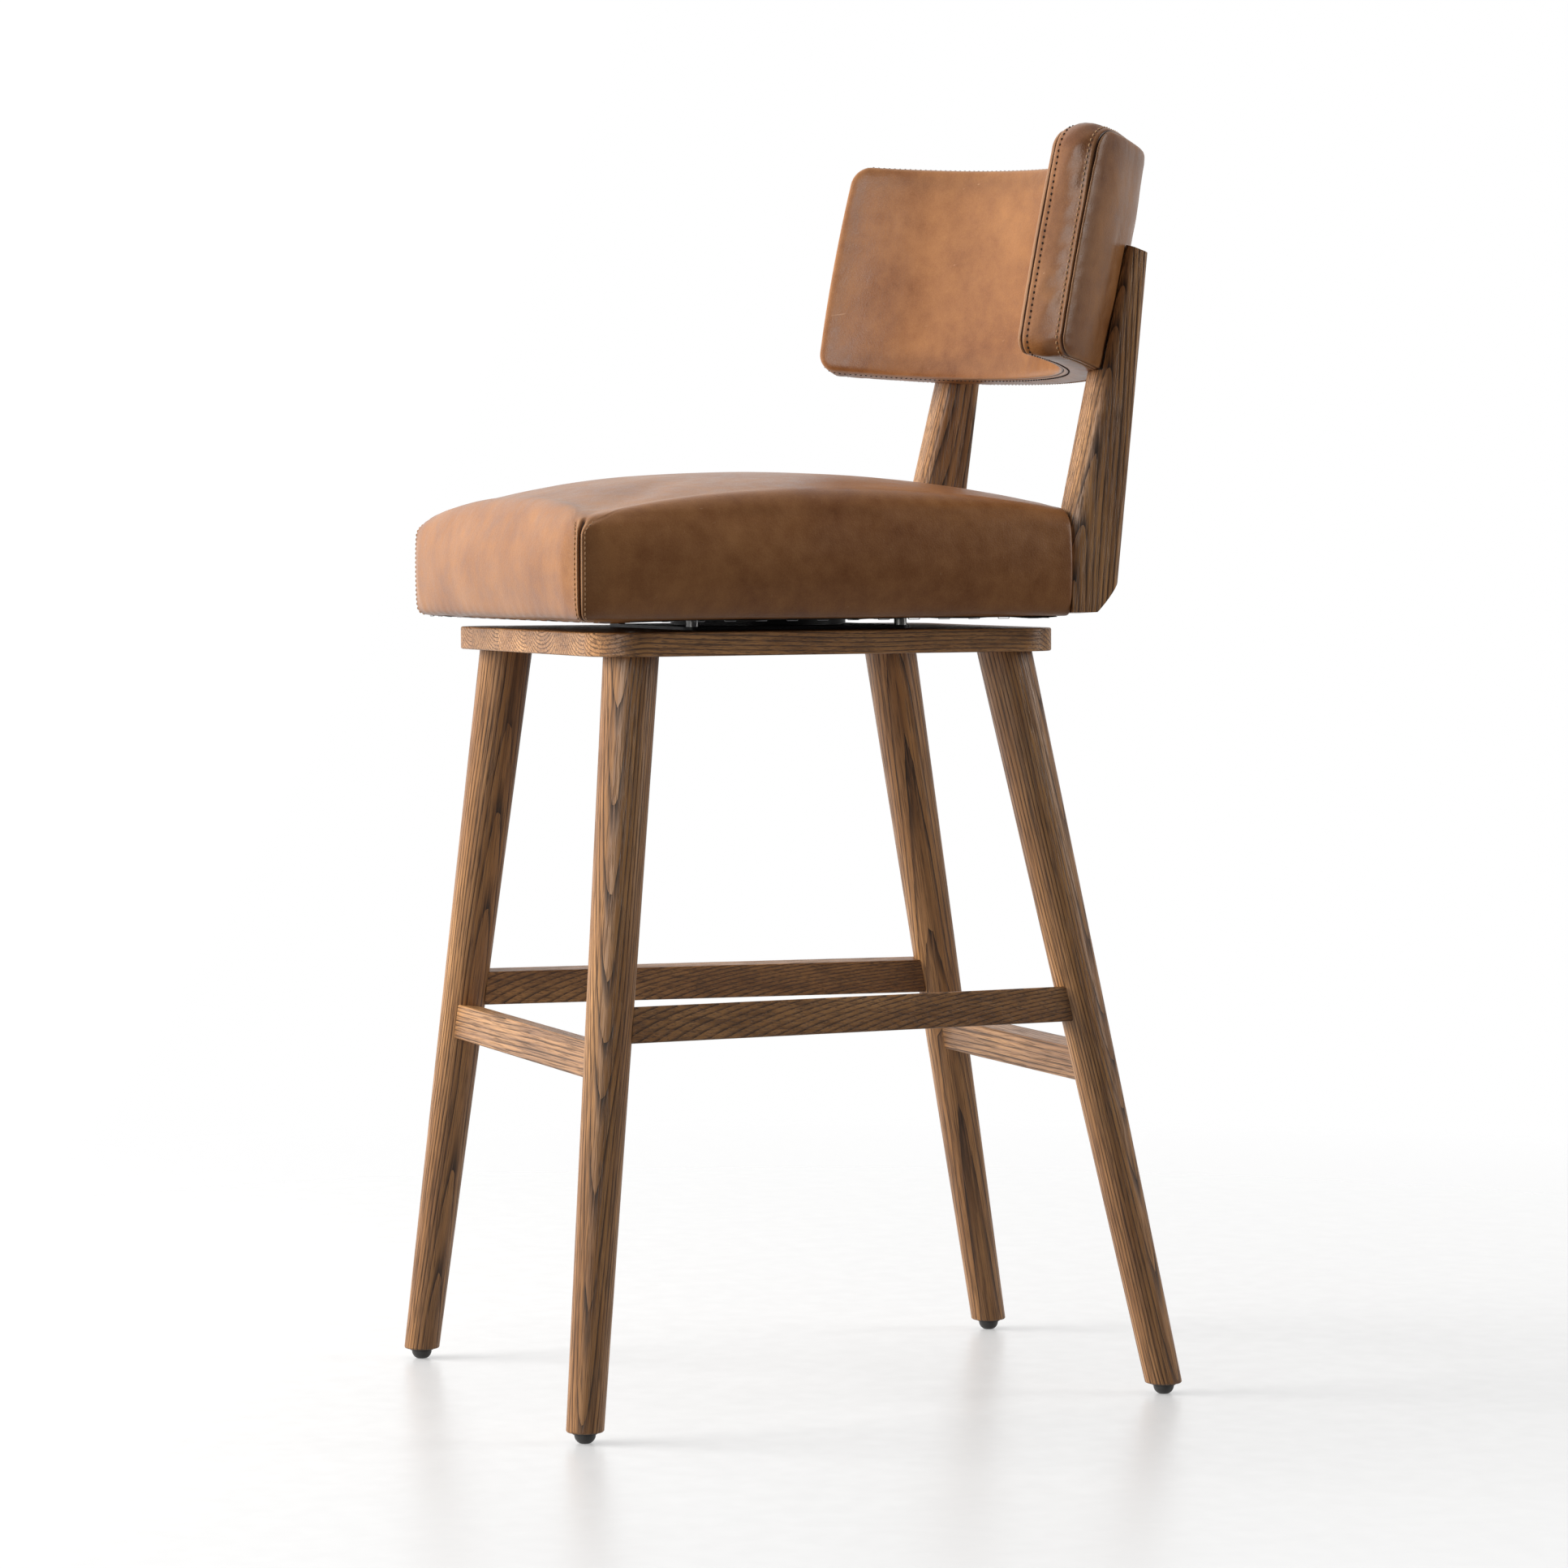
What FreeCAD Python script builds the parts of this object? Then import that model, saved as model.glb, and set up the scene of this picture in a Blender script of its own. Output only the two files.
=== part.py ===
import FreeCAD, Part
import math
import os

from FreeCAD import Placement, Rotation, Vector

# Swivel bar stool with a footrest.  Millimetres, +Z up, the floor at Z = 0.
# The sitter faces -Y.  "right" is the +X side and "left" the -X side.
# The origin is the centre of the stool's outline on the floor.

# ---- driving dimensions -------------------------------------------------------------

# heights of the stack, from the floor up
leg_end_z = 9.0
board_z = 614.0
board_thick = 19.0
board_top_z = board_z + board_thick
deck_z = 645.0
deck_thick = 15.0
deck_top_z = deck_z + deck_thick
seat_crown_z = 762.0

# leg axes: where they meet the underside of the board, and where they meet the floor
leg_top = {"front": (161.5, -208.8), "rear": (125.0, 129.2)}
leg_foot = {"front": (221.0, -271.3), "rear": (183.5, 248.7)}
leg_top_r = 22.3
leg_foot_r = 14.9
leg_end_round = 1.5

# board: its corners are round about the leg axes
board_corner_r = 38.6
board_edge_round = 1.6

# stretchers: a rectangular bar that leans with the rake of its two legs
bar_height = 28.8
bar_thick = 19.4
bar_edge_round = 1.6
side_bar_top_z = 337.6
front_bar_top_z = 308.8
rear_bar_top_z = 287.6
tenon_height = 18.0
tenon_thick = 10.0
tenon_depth = 13.0
glue_gap = 0.1

# glides under the legs
glide_r = 10.0
glide_flange = 1.5
glide_flat_r = 4.0
nail_r = 1.25
nail_length = 24.0
nail_head_r = 3.0

# hardware between the legs and the board
leg_bolt_r = 4.0
leg_bolt_head_r = 8.0
leg_bolt_head_height = 4.5
leg_bolt_length = 50.0
insert_r = 6.0
insert_length = 28.0
dowel_r = 4.0
dowel_length = 25.0
dowel_offset = 13.5
hole_gap = 0.05

# swivel
swivel_y = -40.3
lower_plate_half = 99.0
upper_plate_half = 90.0
plate_corner_r = 9.0
plate_thick = 2.5
lower_screw_x = 91.0
upper_bolt_x = 78.0
ball_r = 2.5
ball_circle_r = 62.5
ball_count = 24
ball_gap = 0.05
race_inner_r = 55.0
race_outer_r = 70.0
skirt_outer_r = 73.0
skirt_thick = 1.2
pivot_r = 10.0
pivot_head_r = 15.0

# seat
seat_front_y = -272.3
seat_rear_y = 162.2
seat_front_half = 219.0
seat_rear_half = 186.0
seat_bottom_z = 643.4
seat_corner_r = 28.0
seat_crown_r = 1265.0
seat_crown_y = -55.0
seat_top_round = 25.0
leather_thick = 2.0
dust_cover_thick = 0.6
rail_height = 46.0
rail_depth = 28.0
rail_half = 179.0
rail_inset = 4.5

# posts
post_thick = 36.5
post_outer_x = 188.5
post_lean = 2.0
post_bottom_z = 646.0
post_front_y = 162.7
post_knee_z = 722.0
post_front_top = (216.7, 945.5)
post_back_top = (235.5, 939.0)
post_back_bottom_y = 201.5
post_heel = (17.0, 26.0)
post_heel_bulge = 1.2
post_front_round = (17.0, 8.0)
post_back_round = 4.5
post_bolt_z = (676.0, 696.0)

# back pad: an arc in plan, whose plane tips back less than its upright edges lean
pad_lean = 11.3
pad_tip = 6.2
pad_centre_y = -40.0
pad_centre_z = 962.0
pad_front_r = 268.0
pad_rear_r = 309.0
pad_half_angle = 54.2
pad_half_height = 92.3
pad_corner_r = 16.0
pad_skin = 1.8
shell_front_r = 289.0
shell_rear_r = 298.0
pad_gap = 0.3
back_screw_heights = (-58.0, -24.0)

os.makedirs("parts", exist_ok=True)


# ---- helpers ------------------------------------------------------------------------

def export(node, shape):
    shape.exportStep("parts/" + node + ".step")


def cylinder(r, z0, z1, x=0.0, y=0.0):
    return Part.makeCylinder(r, z1 - z0, Vector(x, y, z0))


def ring(inner_r, outer_r, z0, z1, x=0.0, y=0.0):
    return cylinder(outer_r, z0, z1, x, y).cut(cylinder(inner_r, z0, z1, x, y))


def plate(centres, radius, z0, z1):
    """A flat plate whose corners are arcs of one radius about the given centres."""
    points = [Vector(x, y, z0) for x, y in centres]
    outline = Part.makePolygon(points + points[:1])
    face = Part.Face(outline).makeOffset2D(radius)
    return face.extrude(Vector(0, 0, z1 - z0))


def square_plate(half, z0, z1):
    c = half - plate_corner_r
    corners = [(-c, swivel_y - c), (c, swivel_y - c), (c, swivel_y + c), (-c, swivel_y + c)]
    return plate(corners, plate_corner_r, z0, z1)


def oriented_box(centre, along, across, up, length, width, height):
    block = Part.makeBox(length, width, height, Vector(-length / 2, -width / 2, -height / 2))
    block.Placement = Placement(centre, Rotation(along, across, up, "XYZ"))
    return block


def hexagon_prism(across_flats, z0, z1, x, y):
    r = across_flats / math.sqrt(3)
    turns = [math.radians(60 * i) for i in range(6)]
    points = [Vector(x + r * math.cos(t), y + r * math.sin(t), z0) for t in turns]
    return Part.Face(Part.makePolygon(points + points[:1])).extrude(Vector(0, 0, z1 - z0))


def mirrored(shape):
    return shape.mirror(Vector(0, 0, 0), Vector(1, 0, 0))


def four_about_swivel(offset):
    return [(sx * offset, swivel_y + sy * offset) for sx in (-1, 1) for sy in (-1, 1)]


def flat_edges(shape, low, high):
    """Edges that lie in one horizontal plane between two heights."""
    found = []
    for edge in shape.Edges:
        box = edge.BoundBox
        if box.ZLength < 0.01 and low <= box.ZMin <= high:
            found.append(edge)
    return found


# ---- legs ---------------------------------------------------------------------------

SIDES = {"left": -1, "right": 1}
LEGS = [(end, side) for end in ("front", "rear") for side in ("left", "right")]


def leg_point(end, side, z):
    top = leg_top[end]
    foot = leg_foot[end]
    t = z / board_z
    x = SIDES[side] * (foot[0] + (top[0] - foot[0]) * t)
    y = foot[1] + (top[1] - foot[1]) * t
    return Vector(x, y, z)


def leg_direction(end, side):
    direction = leg_point(end, side, board_z) - leg_point(end, side, 0)
    return direction.normalize()


def leg_radius(z):
    return leg_foot_r + (leg_top_r - leg_foot_r) * z / board_z


def leg_cone(end, side, extra=0.0):
    """The tapered round of a leg, longer than the leg at both ends."""
    low = -30.0
    high = board_z + 30.0
    start = leg_point(end, side, low)
    length = (leg_point(end, side, high) - start).Length
    r0 = leg_radius(low) + extra
    r1 = leg_radius(high) + extra
    return Part.makeCone(r0, r1, length, start, leg_direction(end, side))


def leg_blank(end, side):
    slab = Part.makeBox(1000, 1000, board_z - leg_end_z, Vector(-500, -500, leg_end_z))
    blank = leg_cone(end, side).common(slab)
    return blank.makeFillet(leg_end_round, flat_edges(blank, 0, leg_end_z + 1))


# ---- stretchers ---------------------------------------------------------------------

BARS = {
    "left": (("front", "left"), ("rear", "left"), side_bar_top_z),
    "right": (("front", "right"), ("rear", "right"), side_bar_top_z),
    "front": (("front", "left"), ("front", "right"), front_bar_top_z),
    "rear": (("rear", "left"), ("rear", "right"), rear_bar_top_z),
}


def bar_frame(name):
    """Ends of a bar on its two leg axes, and its directions: along, across, up."""
    leg_a, leg_b, top_z = BARS[name]
    z = top_z - bar_height / 2
    a = leg_point(*leg_a, z)
    b = leg_point(*leg_b, z)
    along = (b - a).normalize()
    rake = leg_direction(*leg_a) + leg_direction(*leg_b)
    up = (rake - along * rake.dot(along)).normalize()
    return a, b, along, up.cross(along), up


def bar_block(name, width, height, shorten=0.0):
    a, b, along, across, up = bar_frame(name)
    length = (b - a).Length - 2 * shorten
    return oriented_box((a + b) * 0.5, along, across, up, length, width, height)


def tenon_block(name, gap):
    leg_r = leg_radius(BARS[name][2] - bar_height / 2)
    shorten = leg_r - tenon_depth - gap
    return bar_block(name, tenon_thick + 2 * gap, tenon_height + 2 * gap, shorten)


def stretcher(name):
    bar = bar_block(name, bar_thick, bar_height)
    along = bar_frame(name)[2]
    long_edges = [e for e in bar.Edges if abs(e.tangentAt(e.FirstParameter).dot(along)) > 0.99]
    bar = bar.makeFillet(bar_edge_round, long_edges)
    for end, side in BARS[name][:2]:
        bar = bar.cut(leg_cone(end, side, glue_gap))
    return bar.fuse(tenon_block(name, 0.0)).removeSplitter()


# ---- fasteners of the base ----------------------------------------------------------

def leg_bolt(x, y, gap=0.0):
    """Countersunk bolt, down through the board into the top of a leg."""
    cone_z = board_top_z - leg_bolt_head_height
    head = Part.makeCone(leg_bolt_r + gap, leg_bolt_head_r + gap, leg_bolt_head_height,
                         Vector(x, y, cone_z))
    shank = cylinder(leg_bolt_r + gap, board_top_z - leg_bolt_length - gap, cone_z, x, y)
    return head.fuse(shank).removeSplitter()


def leg_insert(x, y, gap=0.0):
    z1 = board_z - 1.0
    return cylinder(insert_r + gap, z1 - insert_length - gap, z1 + gap, x, y)


def leg_dowel(x, y, gap=0.0):
    z0 = board_z - dowel_length * 0.6
    return cylinder(dowel_r + gap, z0 - gap, z0 + dowel_length + gap, x, y)


def glide_nail(x, y, gap=0.0):
    head_z = glide_flange + 3.5
    head = cylinder(nail_head_r + gap, head_z - gap, head_z + 1.0 + gap, x, y)
    shank = cylinder(nail_r + gap, head_z + 1.0, head_z + nail_length + gap, x, y)
    return head.fuse(shank).removeSplitter()


def glide(x, y):
    """Domed plastic foot with a thin flange under the leg and a small flat below."""
    flange_z = leg_end_z - glide_flange
    dome_r = glide_r - 1.5
    start = Vector(glide_flat_r, 0, 0)
    shoulder = Vector(dome_r, 0, flange_z)
    middle = Vector(dome_r - 1.0, 0, flange_z * 0.4)
    edges = [
        Part.makeLine(Vector(0, 0, 0), start),
        Part.Arc(start, middle, shoulder).toShape(),
        Part.makeLine(shoulder, Vector(glide_r, 0, flange_z)),
        Part.makeLine(Vector(glide_r, 0, flange_z), Vector(glide_r, 0, leg_end_z)),
        Part.makeLine(Vector(glide_r, 0, leg_end_z), Vector(0, 0, leg_end_z)),
        Part.makeLine(Vector(0, 0, leg_end_z), Vector(0, 0, 0)),
    ]
    foot = Part.Face(Part.Wire(edges)).revolve(Vector(0, 0, 0), Vector(0, 0, 1), 360)
    foot.translate(Vector(x, y, 0))
    return foot.cut(glide_nail(x, y, hole_gap))


def lower_screw(x, y, gap=0.0):
    """Cheese-head screw that holds the swivel's lower plate to the board."""
    seat_z = board_top_z + plate_thick
    shank = cylinder(2.4 + gap, board_z + 4.0, seat_z, x, y)
    head = cylinder(5.2, seat_z, seat_z + 5.4, x, y)
    head = head.cut(hexagon_prism(4.0, seat_z + 2.8, seat_z + 5.4, x, y))
    return shank.fuse(head).removeSplitter()


# ---- base ---------------------------------------------------------------------------

def build_base():
    board_corners = [(-leg_top["front"][0], leg_top["front"][1]),
                     (leg_top["front"][0], leg_top["front"][1]),
                     (leg_top["rear"][0], leg_top["rear"][1]),
                     (-leg_top["rear"][0], leg_top["rear"][1])]
    board = plate(board_corners, board_corner_r, board_z, board_top_z)
    board = board.makeFillet(board_edge_round, flat_edges(board, board_z - 1, board_top_z + 1))
    board = board.cut(cylinder(pivot_head_r + 2, board_top_z - 4, board_top_z, 0, swivel_y))

    bolts = []
    inserts = []
    dowels = []
    nails = []
    mortises = [tenon_block(name, glue_gap) for name in BARS]
    for end, side in LEGS:
        top = leg_point(end, side, board_z)
        foot = leg_point(end, side, leg_end_z)
        dowel_x = top.x - SIDES[side] * dowel_offset
        leg = leg_blank(end, side).cut(mortises)
        leg = leg.cut(leg_insert(top.x, top.y, hole_gap))
        leg = leg.cut(leg_bolt(top.x, top.y, hole_gap))
        leg = leg.cut(leg_dowel(dowel_x, top.y, hole_gap))
        leg = leg.cut(glide_nail(foot.x, foot.y, hole_gap))
        export("leg_" + end + "_" + side, leg)
        export("glide_" + end + "_" + side, glide(foot.x, foot.y))

        bolt = leg_bolt(top.x, top.y)
        socket = hexagon_prism(5.0, board_top_z - 3.0, board_top_z, top.x, top.y)
        bolts.append(bolt.cut(socket))
        inserts.append(leg_insert(top.x, top.y).cut(leg_bolt(top.x, top.y, hole_gap)))
        dowels.append(leg_dowel(dowel_x, top.y))
        nails.append(glide_nail(foot.x, foot.y))
        board = board.cut(leg_bolt(top.x, top.y, hole_gap))
        board = board.cut(leg_dowel(dowel_x, top.y, hole_gap))

    for x, y in four_about_swivel(lower_screw_x):
        board = board.cut(lower_screw(x, y, hole_gap))

    export("base_board", board)
    export("leg_bolts", Part.makeCompound(bolts))
    export("leg_inserts", Part.makeCompound(inserts))
    export("leg_dowels", Part.makeCompound(dowels))
    export("glide_nails", Part.makeCompound(nails))
    for name in BARS:
        export("stretcher_" + name, stretcher(name))


# ---- swivel -------------------------------------------------------------------------

lower_race_z = board_top_z + plate_thick
lower_race_top_z = lower_race_z + 2.5
ball_z = lower_race_z + ball_gap + 1.2 + ball_r
upper_race_z = deck_z - 2.0 - 2.5
upper_plate_z = deck_z - 2.0


def race_groove():
    return Part.makeTorus(ball_circle_r, ball_r + ball_gap, Vector(0, swivel_y, ball_z))


def upper_bolt(x, y, gap=0.0):
    """Button-head bolt, up through the swivel's upper plate into the seat deck."""
    head = cylinder(5.2, upper_plate_z - 2.8, upper_plate_z, x, y)
    head = head.cut(hexagon_prism(4.0, upper_plate_z - 2.8, upper_plate_z - 1.2, x, y))
    shank = cylinder(3.0 + gap, upper_plate_z, deck_top_z - 1.0, x, y)
    return head.fuse(shank).removeSplitter()


def deck_nut(x, y, gap=0.0):
    """T-nut pressed into the deck from above."""
    barrel = cylinder(4.2 + gap, deck_top_z - 9.0 - gap, deck_top_z, x, y)
    flange = cylinder(9.5 + gap, deck_top_z, deck_top_z + 1.2 + gap, x, y)
    return barrel.fuse(flange).removeSplitter()


def build_swivel():
    lower = square_plate(lower_plate_half, board_top_z, lower_race_z)
    lower = lower.fuse(ring(race_inner_r, race_outer_r, lower_race_z, lower_race_top_z,
                            0, swivel_y))
    lower = lower.cut(race_groove())
    lower = lower.cut(cylinder(pivot_r + ball_gap, board_top_z, lower_race_z, 0, swivel_y))
    for x, y in four_about_swivel(lower_screw_x):
        lower = lower.cut(cylinder(2.6, board_top_z, lower_race_z, x, y))
    export("swivel_lower_plate", lower.removeSplitter())
    screws = [lower_screw(x, y) for x, y in four_about_swivel(lower_screw_x)]
    export("lower_plate_screws", Part.makeCompound(screws))

    upper = square_plate(upper_plate_half, upper_plate_z, deck_z)
    upper = upper.fuse(ring(race_inner_r, race_outer_r, upper_race_z, upper_plate_z,
                            0, swivel_y))
    skirt_z = lower_race_z + 0.8
    upper = upper.fuse(ring(skirt_outer_r - skirt_thick, skirt_outer_r, skirt_z,
                            upper_plate_z, 0, swivel_y))
    upper = upper.cut(race_groove())
    upper = upper.cut(cylinder(pivot_r, upper_plate_z, deck_z, 0, swivel_y))
    for x, y in four_about_swivel(upper_bolt_x):
        upper = upper.cut(cylinder(3.1, upper_plate_z, deck_z, x, y))
    export("swivel_upper_plate", upper.removeSplitter())
    bolts = [upper_bolt(x, y) for x, y in four_about_swivel(upper_bolt_x)]
    export("upper_plate_bolts", Part.makeCompound(bolts))

    shaft = cylinder(pivot_r, board_top_z - 0.1, deck_z, 0, swivel_y)
    foot = cylinder(pivot_head_r, board_top_z - 2.0, board_top_z - 0.1, 0, swivel_y)
    head = cylinder(pivot_head_r - 1, deck_z, deck_z + 1.5, 0, swivel_y)
    bore = cylinder(pivot_r - 3, board_top_z - 2.0, deck_z + 1.5, 0, swivel_y)
    export("swivel_pivot", shaft.fuse([foot, head]).cut(bore).removeSplitter())

    balls = []
    cage = ring(ball_circle_r - 4.5, ball_circle_r + 4.5, ball_z - 0.7, ball_z + 0.7,
                0, swivel_y)
    for i in range(ball_count):
        turn = 2 * math.pi * i / ball_count
        x = ball_circle_r * math.cos(turn)
        y = swivel_y + ball_circle_r * math.sin(turn)
        balls.append(Part.makeSphere(ball_r, Vector(x, y, ball_z)))
        cage = cage.cut(cylinder(ball_r + ball_gap, ball_z - 1, ball_z + 1, x, y))
    export("ball_cage", cage)
    export("bearing_balls", Part.makeCompound(balls))


# ---- seat ---------------------------------------------------------------------------

def seat_blank(inset, z0, z1):
    """The seat's tapered outline, drawn in by an inset and carried on past its rear face."""
    r = max(seat_corner_r - inset, 1.0)
    draw = inset + r
    front_y = seat_front_y + draw
    rear_y = seat_rear_y + seat_corner_r
    slope = (seat_front_half - seat_rear_half) / (seat_rear_y - seat_front_y)
    shift = draw * math.sqrt(1 + slope * slope)
    front_half = seat_front_half - slope * (front_y - seat_front_y) - shift
    rear_half = seat_front_half - slope * (rear_y - seat_front_y) - shift
    corners = [(-front_half, front_y), (front_half, front_y),
               (rear_half, rear_y), (-rear_half, rear_y)]
    return plate(corners, r, z0, z1)


def trim_rear(block, inset):
    """Cuts a seat layer off square where the posts stand against it."""
    past = Part.makeBox(600, 200, 200, Vector(-300, seat_rear_y - inset, seat_bottom_z - 10))
    return block.cut(past)


def seat_plan(inset, z0, z1):
    """A flat layer of the seat: round front corners and a square rear."""
    return trim_rear(seat_blank(inset, z0, z1), inset)


def seat_cushion(inset, z0):
    """Cushion with upright sides, a crowned top, a rounded top edge and a flat rear face."""
    block = seat_blank(inset, z0, seat_crown_z + 10)
    crown = Part.makeSphere(seat_crown_r - inset,
                            Vector(0, seat_crown_y, seat_crown_z - seat_crown_r))
    block = block.common(crown)
    top_face = [f for f in block.Faces if isinstance(f.Surface, Part.Sphere)][0]
    return trim_rear(block.makeFillet(seat_top_round - inset, top_face.Edges), inset)


def post_centre_x(z):
    lean = math.tan(math.radians(post_lean)) * (z - post_bottom_z)
    return post_outer_x - post_thick / 2 - lean


def seat_bolt(side, z, gap=0.0):
    """Cap-head bolt, forward through a post into the rail inside the seat."""
    x = SIDES[side] * post_centre_x(z)
    back = Vector(0, -1, 0)
    head_y = post_front_y + 30.0
    head = Part.makeCylinder(6.5 + gap, 8.0, Vector(x, head_y + 8.0, z), back)
    if gap > 0:
        head = Part.makeCylinder(7.0, 40.0, Vector(x, head_y + 40.0, z), back)
    rail_front_y = seat_rear_y - leather_thick - rail_inset - rail_depth
    length = head_y - rail_front_y + 4.0
    shank = Part.makeCylinder(4.0 + gap, length, Vector(x, head_y, z), back)
    return head.fuse(shank).removeSplitter()


def rail_nut(side, z, gap=0.0):
    """T-nut on the front face of the rail."""
    x = SIDES[side] * post_centre_x(z)
    rail_front_y = seat_rear_y - leather_thick - rail_inset - rail_depth
    rearward = Vector(0, 1, 0)
    flange = Part.makeCylinder(9.0 + gap, 1.5 + gap, Vector(x, rail_front_y - 1.5 - gap, z),
                               rearward)
    barrel = Part.makeCylinder(5.2 + gap, 10.0 + gap, Vector(x, rail_front_y, z), rearward)
    return flange.fuse(barrel).removeSplitter()


SEAT_BOLTS = [(side, z) for side in ("left", "right") for z in post_bolt_z]


def build_seat():
    inner = seat_cushion(leather_thick, deck_z)
    bolt_holes = [seat_bolt(side, z, hole_gap) for side, z in SEAT_BOLTS]
    nut_holes = [rail_nut(side, z, hole_gap) for side, z in SEAT_BOLTS]

    deck = seat_plan(leather_thick, deck_z, deck_top_z)
    deck = deck.cut(cylinder(pivot_head_r, deck_z, deck_z + 2.5, 0, swivel_y))
    deck_nuts = []
    deck_nut_holes = []
    for x, y in four_about_swivel(upper_bolt_x):
        deck = deck.cut(upper_bolt(x, y, hole_gap))
        deck = deck.cut(deck_nut(x, y, hole_gap))
        deck_nuts.append(deck_nut(x, y).cut(upper_bolt(x, y, hole_gap)))
        deck_nut_holes.append(deck_nut(x, y, 4 * hole_gap))
    export("seat_deck", deck)
    export("deck_nuts", Part.makeCompound(deck_nuts))

    rail_rear_y = seat_rear_y - leather_thick - rail_inset
    rail = Part.makeBox(2 * rail_half, rail_depth, rail_height,
                        Vector(-rail_half, rail_rear_y - rail_depth, deck_top_z))
    foam_block = inner.cut(seat_plan(0.0, seat_bottom_z, deck_top_z))
    foam = foam_block.cut([rail] + deck_nut_holes + bolt_holes + nut_holes)
    export("seat_foam", foam)
    export("seat_rear_rail", rail.cut(bolt_holes + nut_holes))

    bolts = [seat_bolt(side, z) for side, z in SEAT_BOLTS]
    export("post_seat_bolts", Part.makeCompound(bolts))
    nuts = [rail_nut(side, z).cut(seat_bolt(side, z, hole_gap)) for side, z in SEAT_BOLTS]
    export("rail_nuts", Part.makeCompound(nuts))

    cover = seat_cushion(0.0, seat_bottom_z).cut(inner)
    turn_under = 30.0
    cover = cover.cut(seat_plan(turn_under, seat_bottom_z, deck_z))
    export("seat_cover", cover.cut(bolt_holes))

    dust_cover_z = seat_bottom_z - dust_cover_thick
    dust_cover = seat_plan(10.0, dust_cover_z, seat_bottom_z)
    dust_cover = dust_cover.cut(square_plate(upper_plate_half + 1, dust_cover_z, seat_bottom_z))
    export("seat_dust_cover", dust_cover)


# ---- back pad -----------------------------------------------------------------------

def pad_placement():
    tip = math.radians(pad_tip)
    rearward = Vector(0, math.cos(tip), -math.sin(tip))
    upward = Vector(0, math.sin(tip), math.cos(tip))
    turn = Rotation(Vector(1, 0, 0), rearward, upward, "XYZ")
    return Placement(Vector(0, pad_centre_y, pad_centre_z), turn)


def pad_slide(height):
    """How far back the pad has leant at a height above its middle."""
    return height * math.tan(math.radians(pad_lean - pad_tip))


def pad_slab(front_r, rear_r, half_angle, half):
    """A curved slab between two radii, square at its ends."""
    def on_arc(radius, angle):
        y = radius * math.cos(angle) - pad_slide(half)
        return Vector(radius * math.sin(angle), y, -half)

    edges = [
        Part.Arc(on_arc(front_r, -half_angle), on_arc(front_r, 0),
                 on_arc(front_r, half_angle)).toShape(),
        Part.makeLine(on_arc(front_r, half_angle), on_arc(rear_r, half_angle)),
        Part.Arc(on_arc(rear_r, half_angle), on_arc(rear_r, 0),
                 on_arc(rear_r, -half_angle)).toShape(),
        Part.makeLine(on_arc(rear_r, -half_angle), on_arc(front_r, -half_angle)),
    ]
    return Part.Face(Part.Wire(edges)).extrude(Vector(0, 2 * pad_slide(half), 2 * half))


def pad_block(front_r, rear_r, inset):
    """A layer of the pad between two radii, with round corners, drawn in by an inset."""
    half_angle = math.radians(pad_half_angle) - inset / pad_rear_r
    half = pad_half_height - inset
    block = pad_slab(pad_front_r - 65, pad_rear_r + 5, half_angle, half)
    for turn in (-1, 1):
        for level in (-1, 1):
            block = block.cut(pad_corner(turn, level, half_angle, half, pad_corner_r - inset))
    return block.common(pad_slab(front_r, rear_r, half_angle + 0.1, half + 10))


def pad_corner(turn, level, half_angle, half, radius):
    """What is cut from one end of the pad, above or below, to round its corner."""
    angle = turn * half_angle
    outward = Vector(math.sin(angle), math.cos(angle), 0)
    inward = Vector(-turn * math.cos(angle), turn * math.sin(angle), 0) * radius
    back = Vector(0, -level * pad_slide(1.0), -level) * radius
    near_r = pad_front_r - 80
    corner = outward * near_r + Vector(0, level * pad_slide(half), level * half)
    bulge = 1 - math.sqrt(0.5)
    arc = Part.Arc(corner + inward, corner + (inward + back) * bulge, corner + back)
    past = corner - (inward + back) * 0.4
    beyond_end = corner + back - inward * 0.4
    beyond_top = corner + inward - back * 0.4
    edges = [
        arc.toShape(),
        Part.makeLine(corner + back, beyond_end),
        Part.makeLine(beyond_end, past),
        Part.makeLine(past, beyond_top),
        Part.makeLine(beyond_top, corner + inward),
    ]
    return Part.Face(Part.Wire(edges)).extrude(outward * 160)


def back_screw(side, height, gap=0.0):
    """Screw through a post into the bent plywood, square to the pad."""
    drop = pad_rear_r * math.sin(math.radians(pad_tip))
    x = SIDES[side] * post_centre_x(pad_centre_z - drop + height)
    tip_y = math.sqrt(shell_front_r ** 2 - x ** 2) + pad_slide(height) + 4.0
    head_y = math.sqrt(pad_rear_r ** 2 - x ** 2) + pad_slide(height) + 6.5
    forward = Vector(0, -1, 0)
    shank = Part.makeCylinder(2.3 + gap, head_y - tip_y, Vector(x, head_y, height), forward)
    head = Part.makeCylinder(4.6 + gap, 3.0, Vector(x, head_y + 3.0, height), forward)
    if gap > 0:
        head = Part.makeCylinder(5.0, 40.0, Vector(x, head_y + 40.0, height), forward)
    screw = shank.fuse(head).removeSplitter()
    screw.Placement = pad_placement()
    return screw


BACK_SCREWS = [(side, height) for side in ("left", "right") for height in back_screw_heights]


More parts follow.
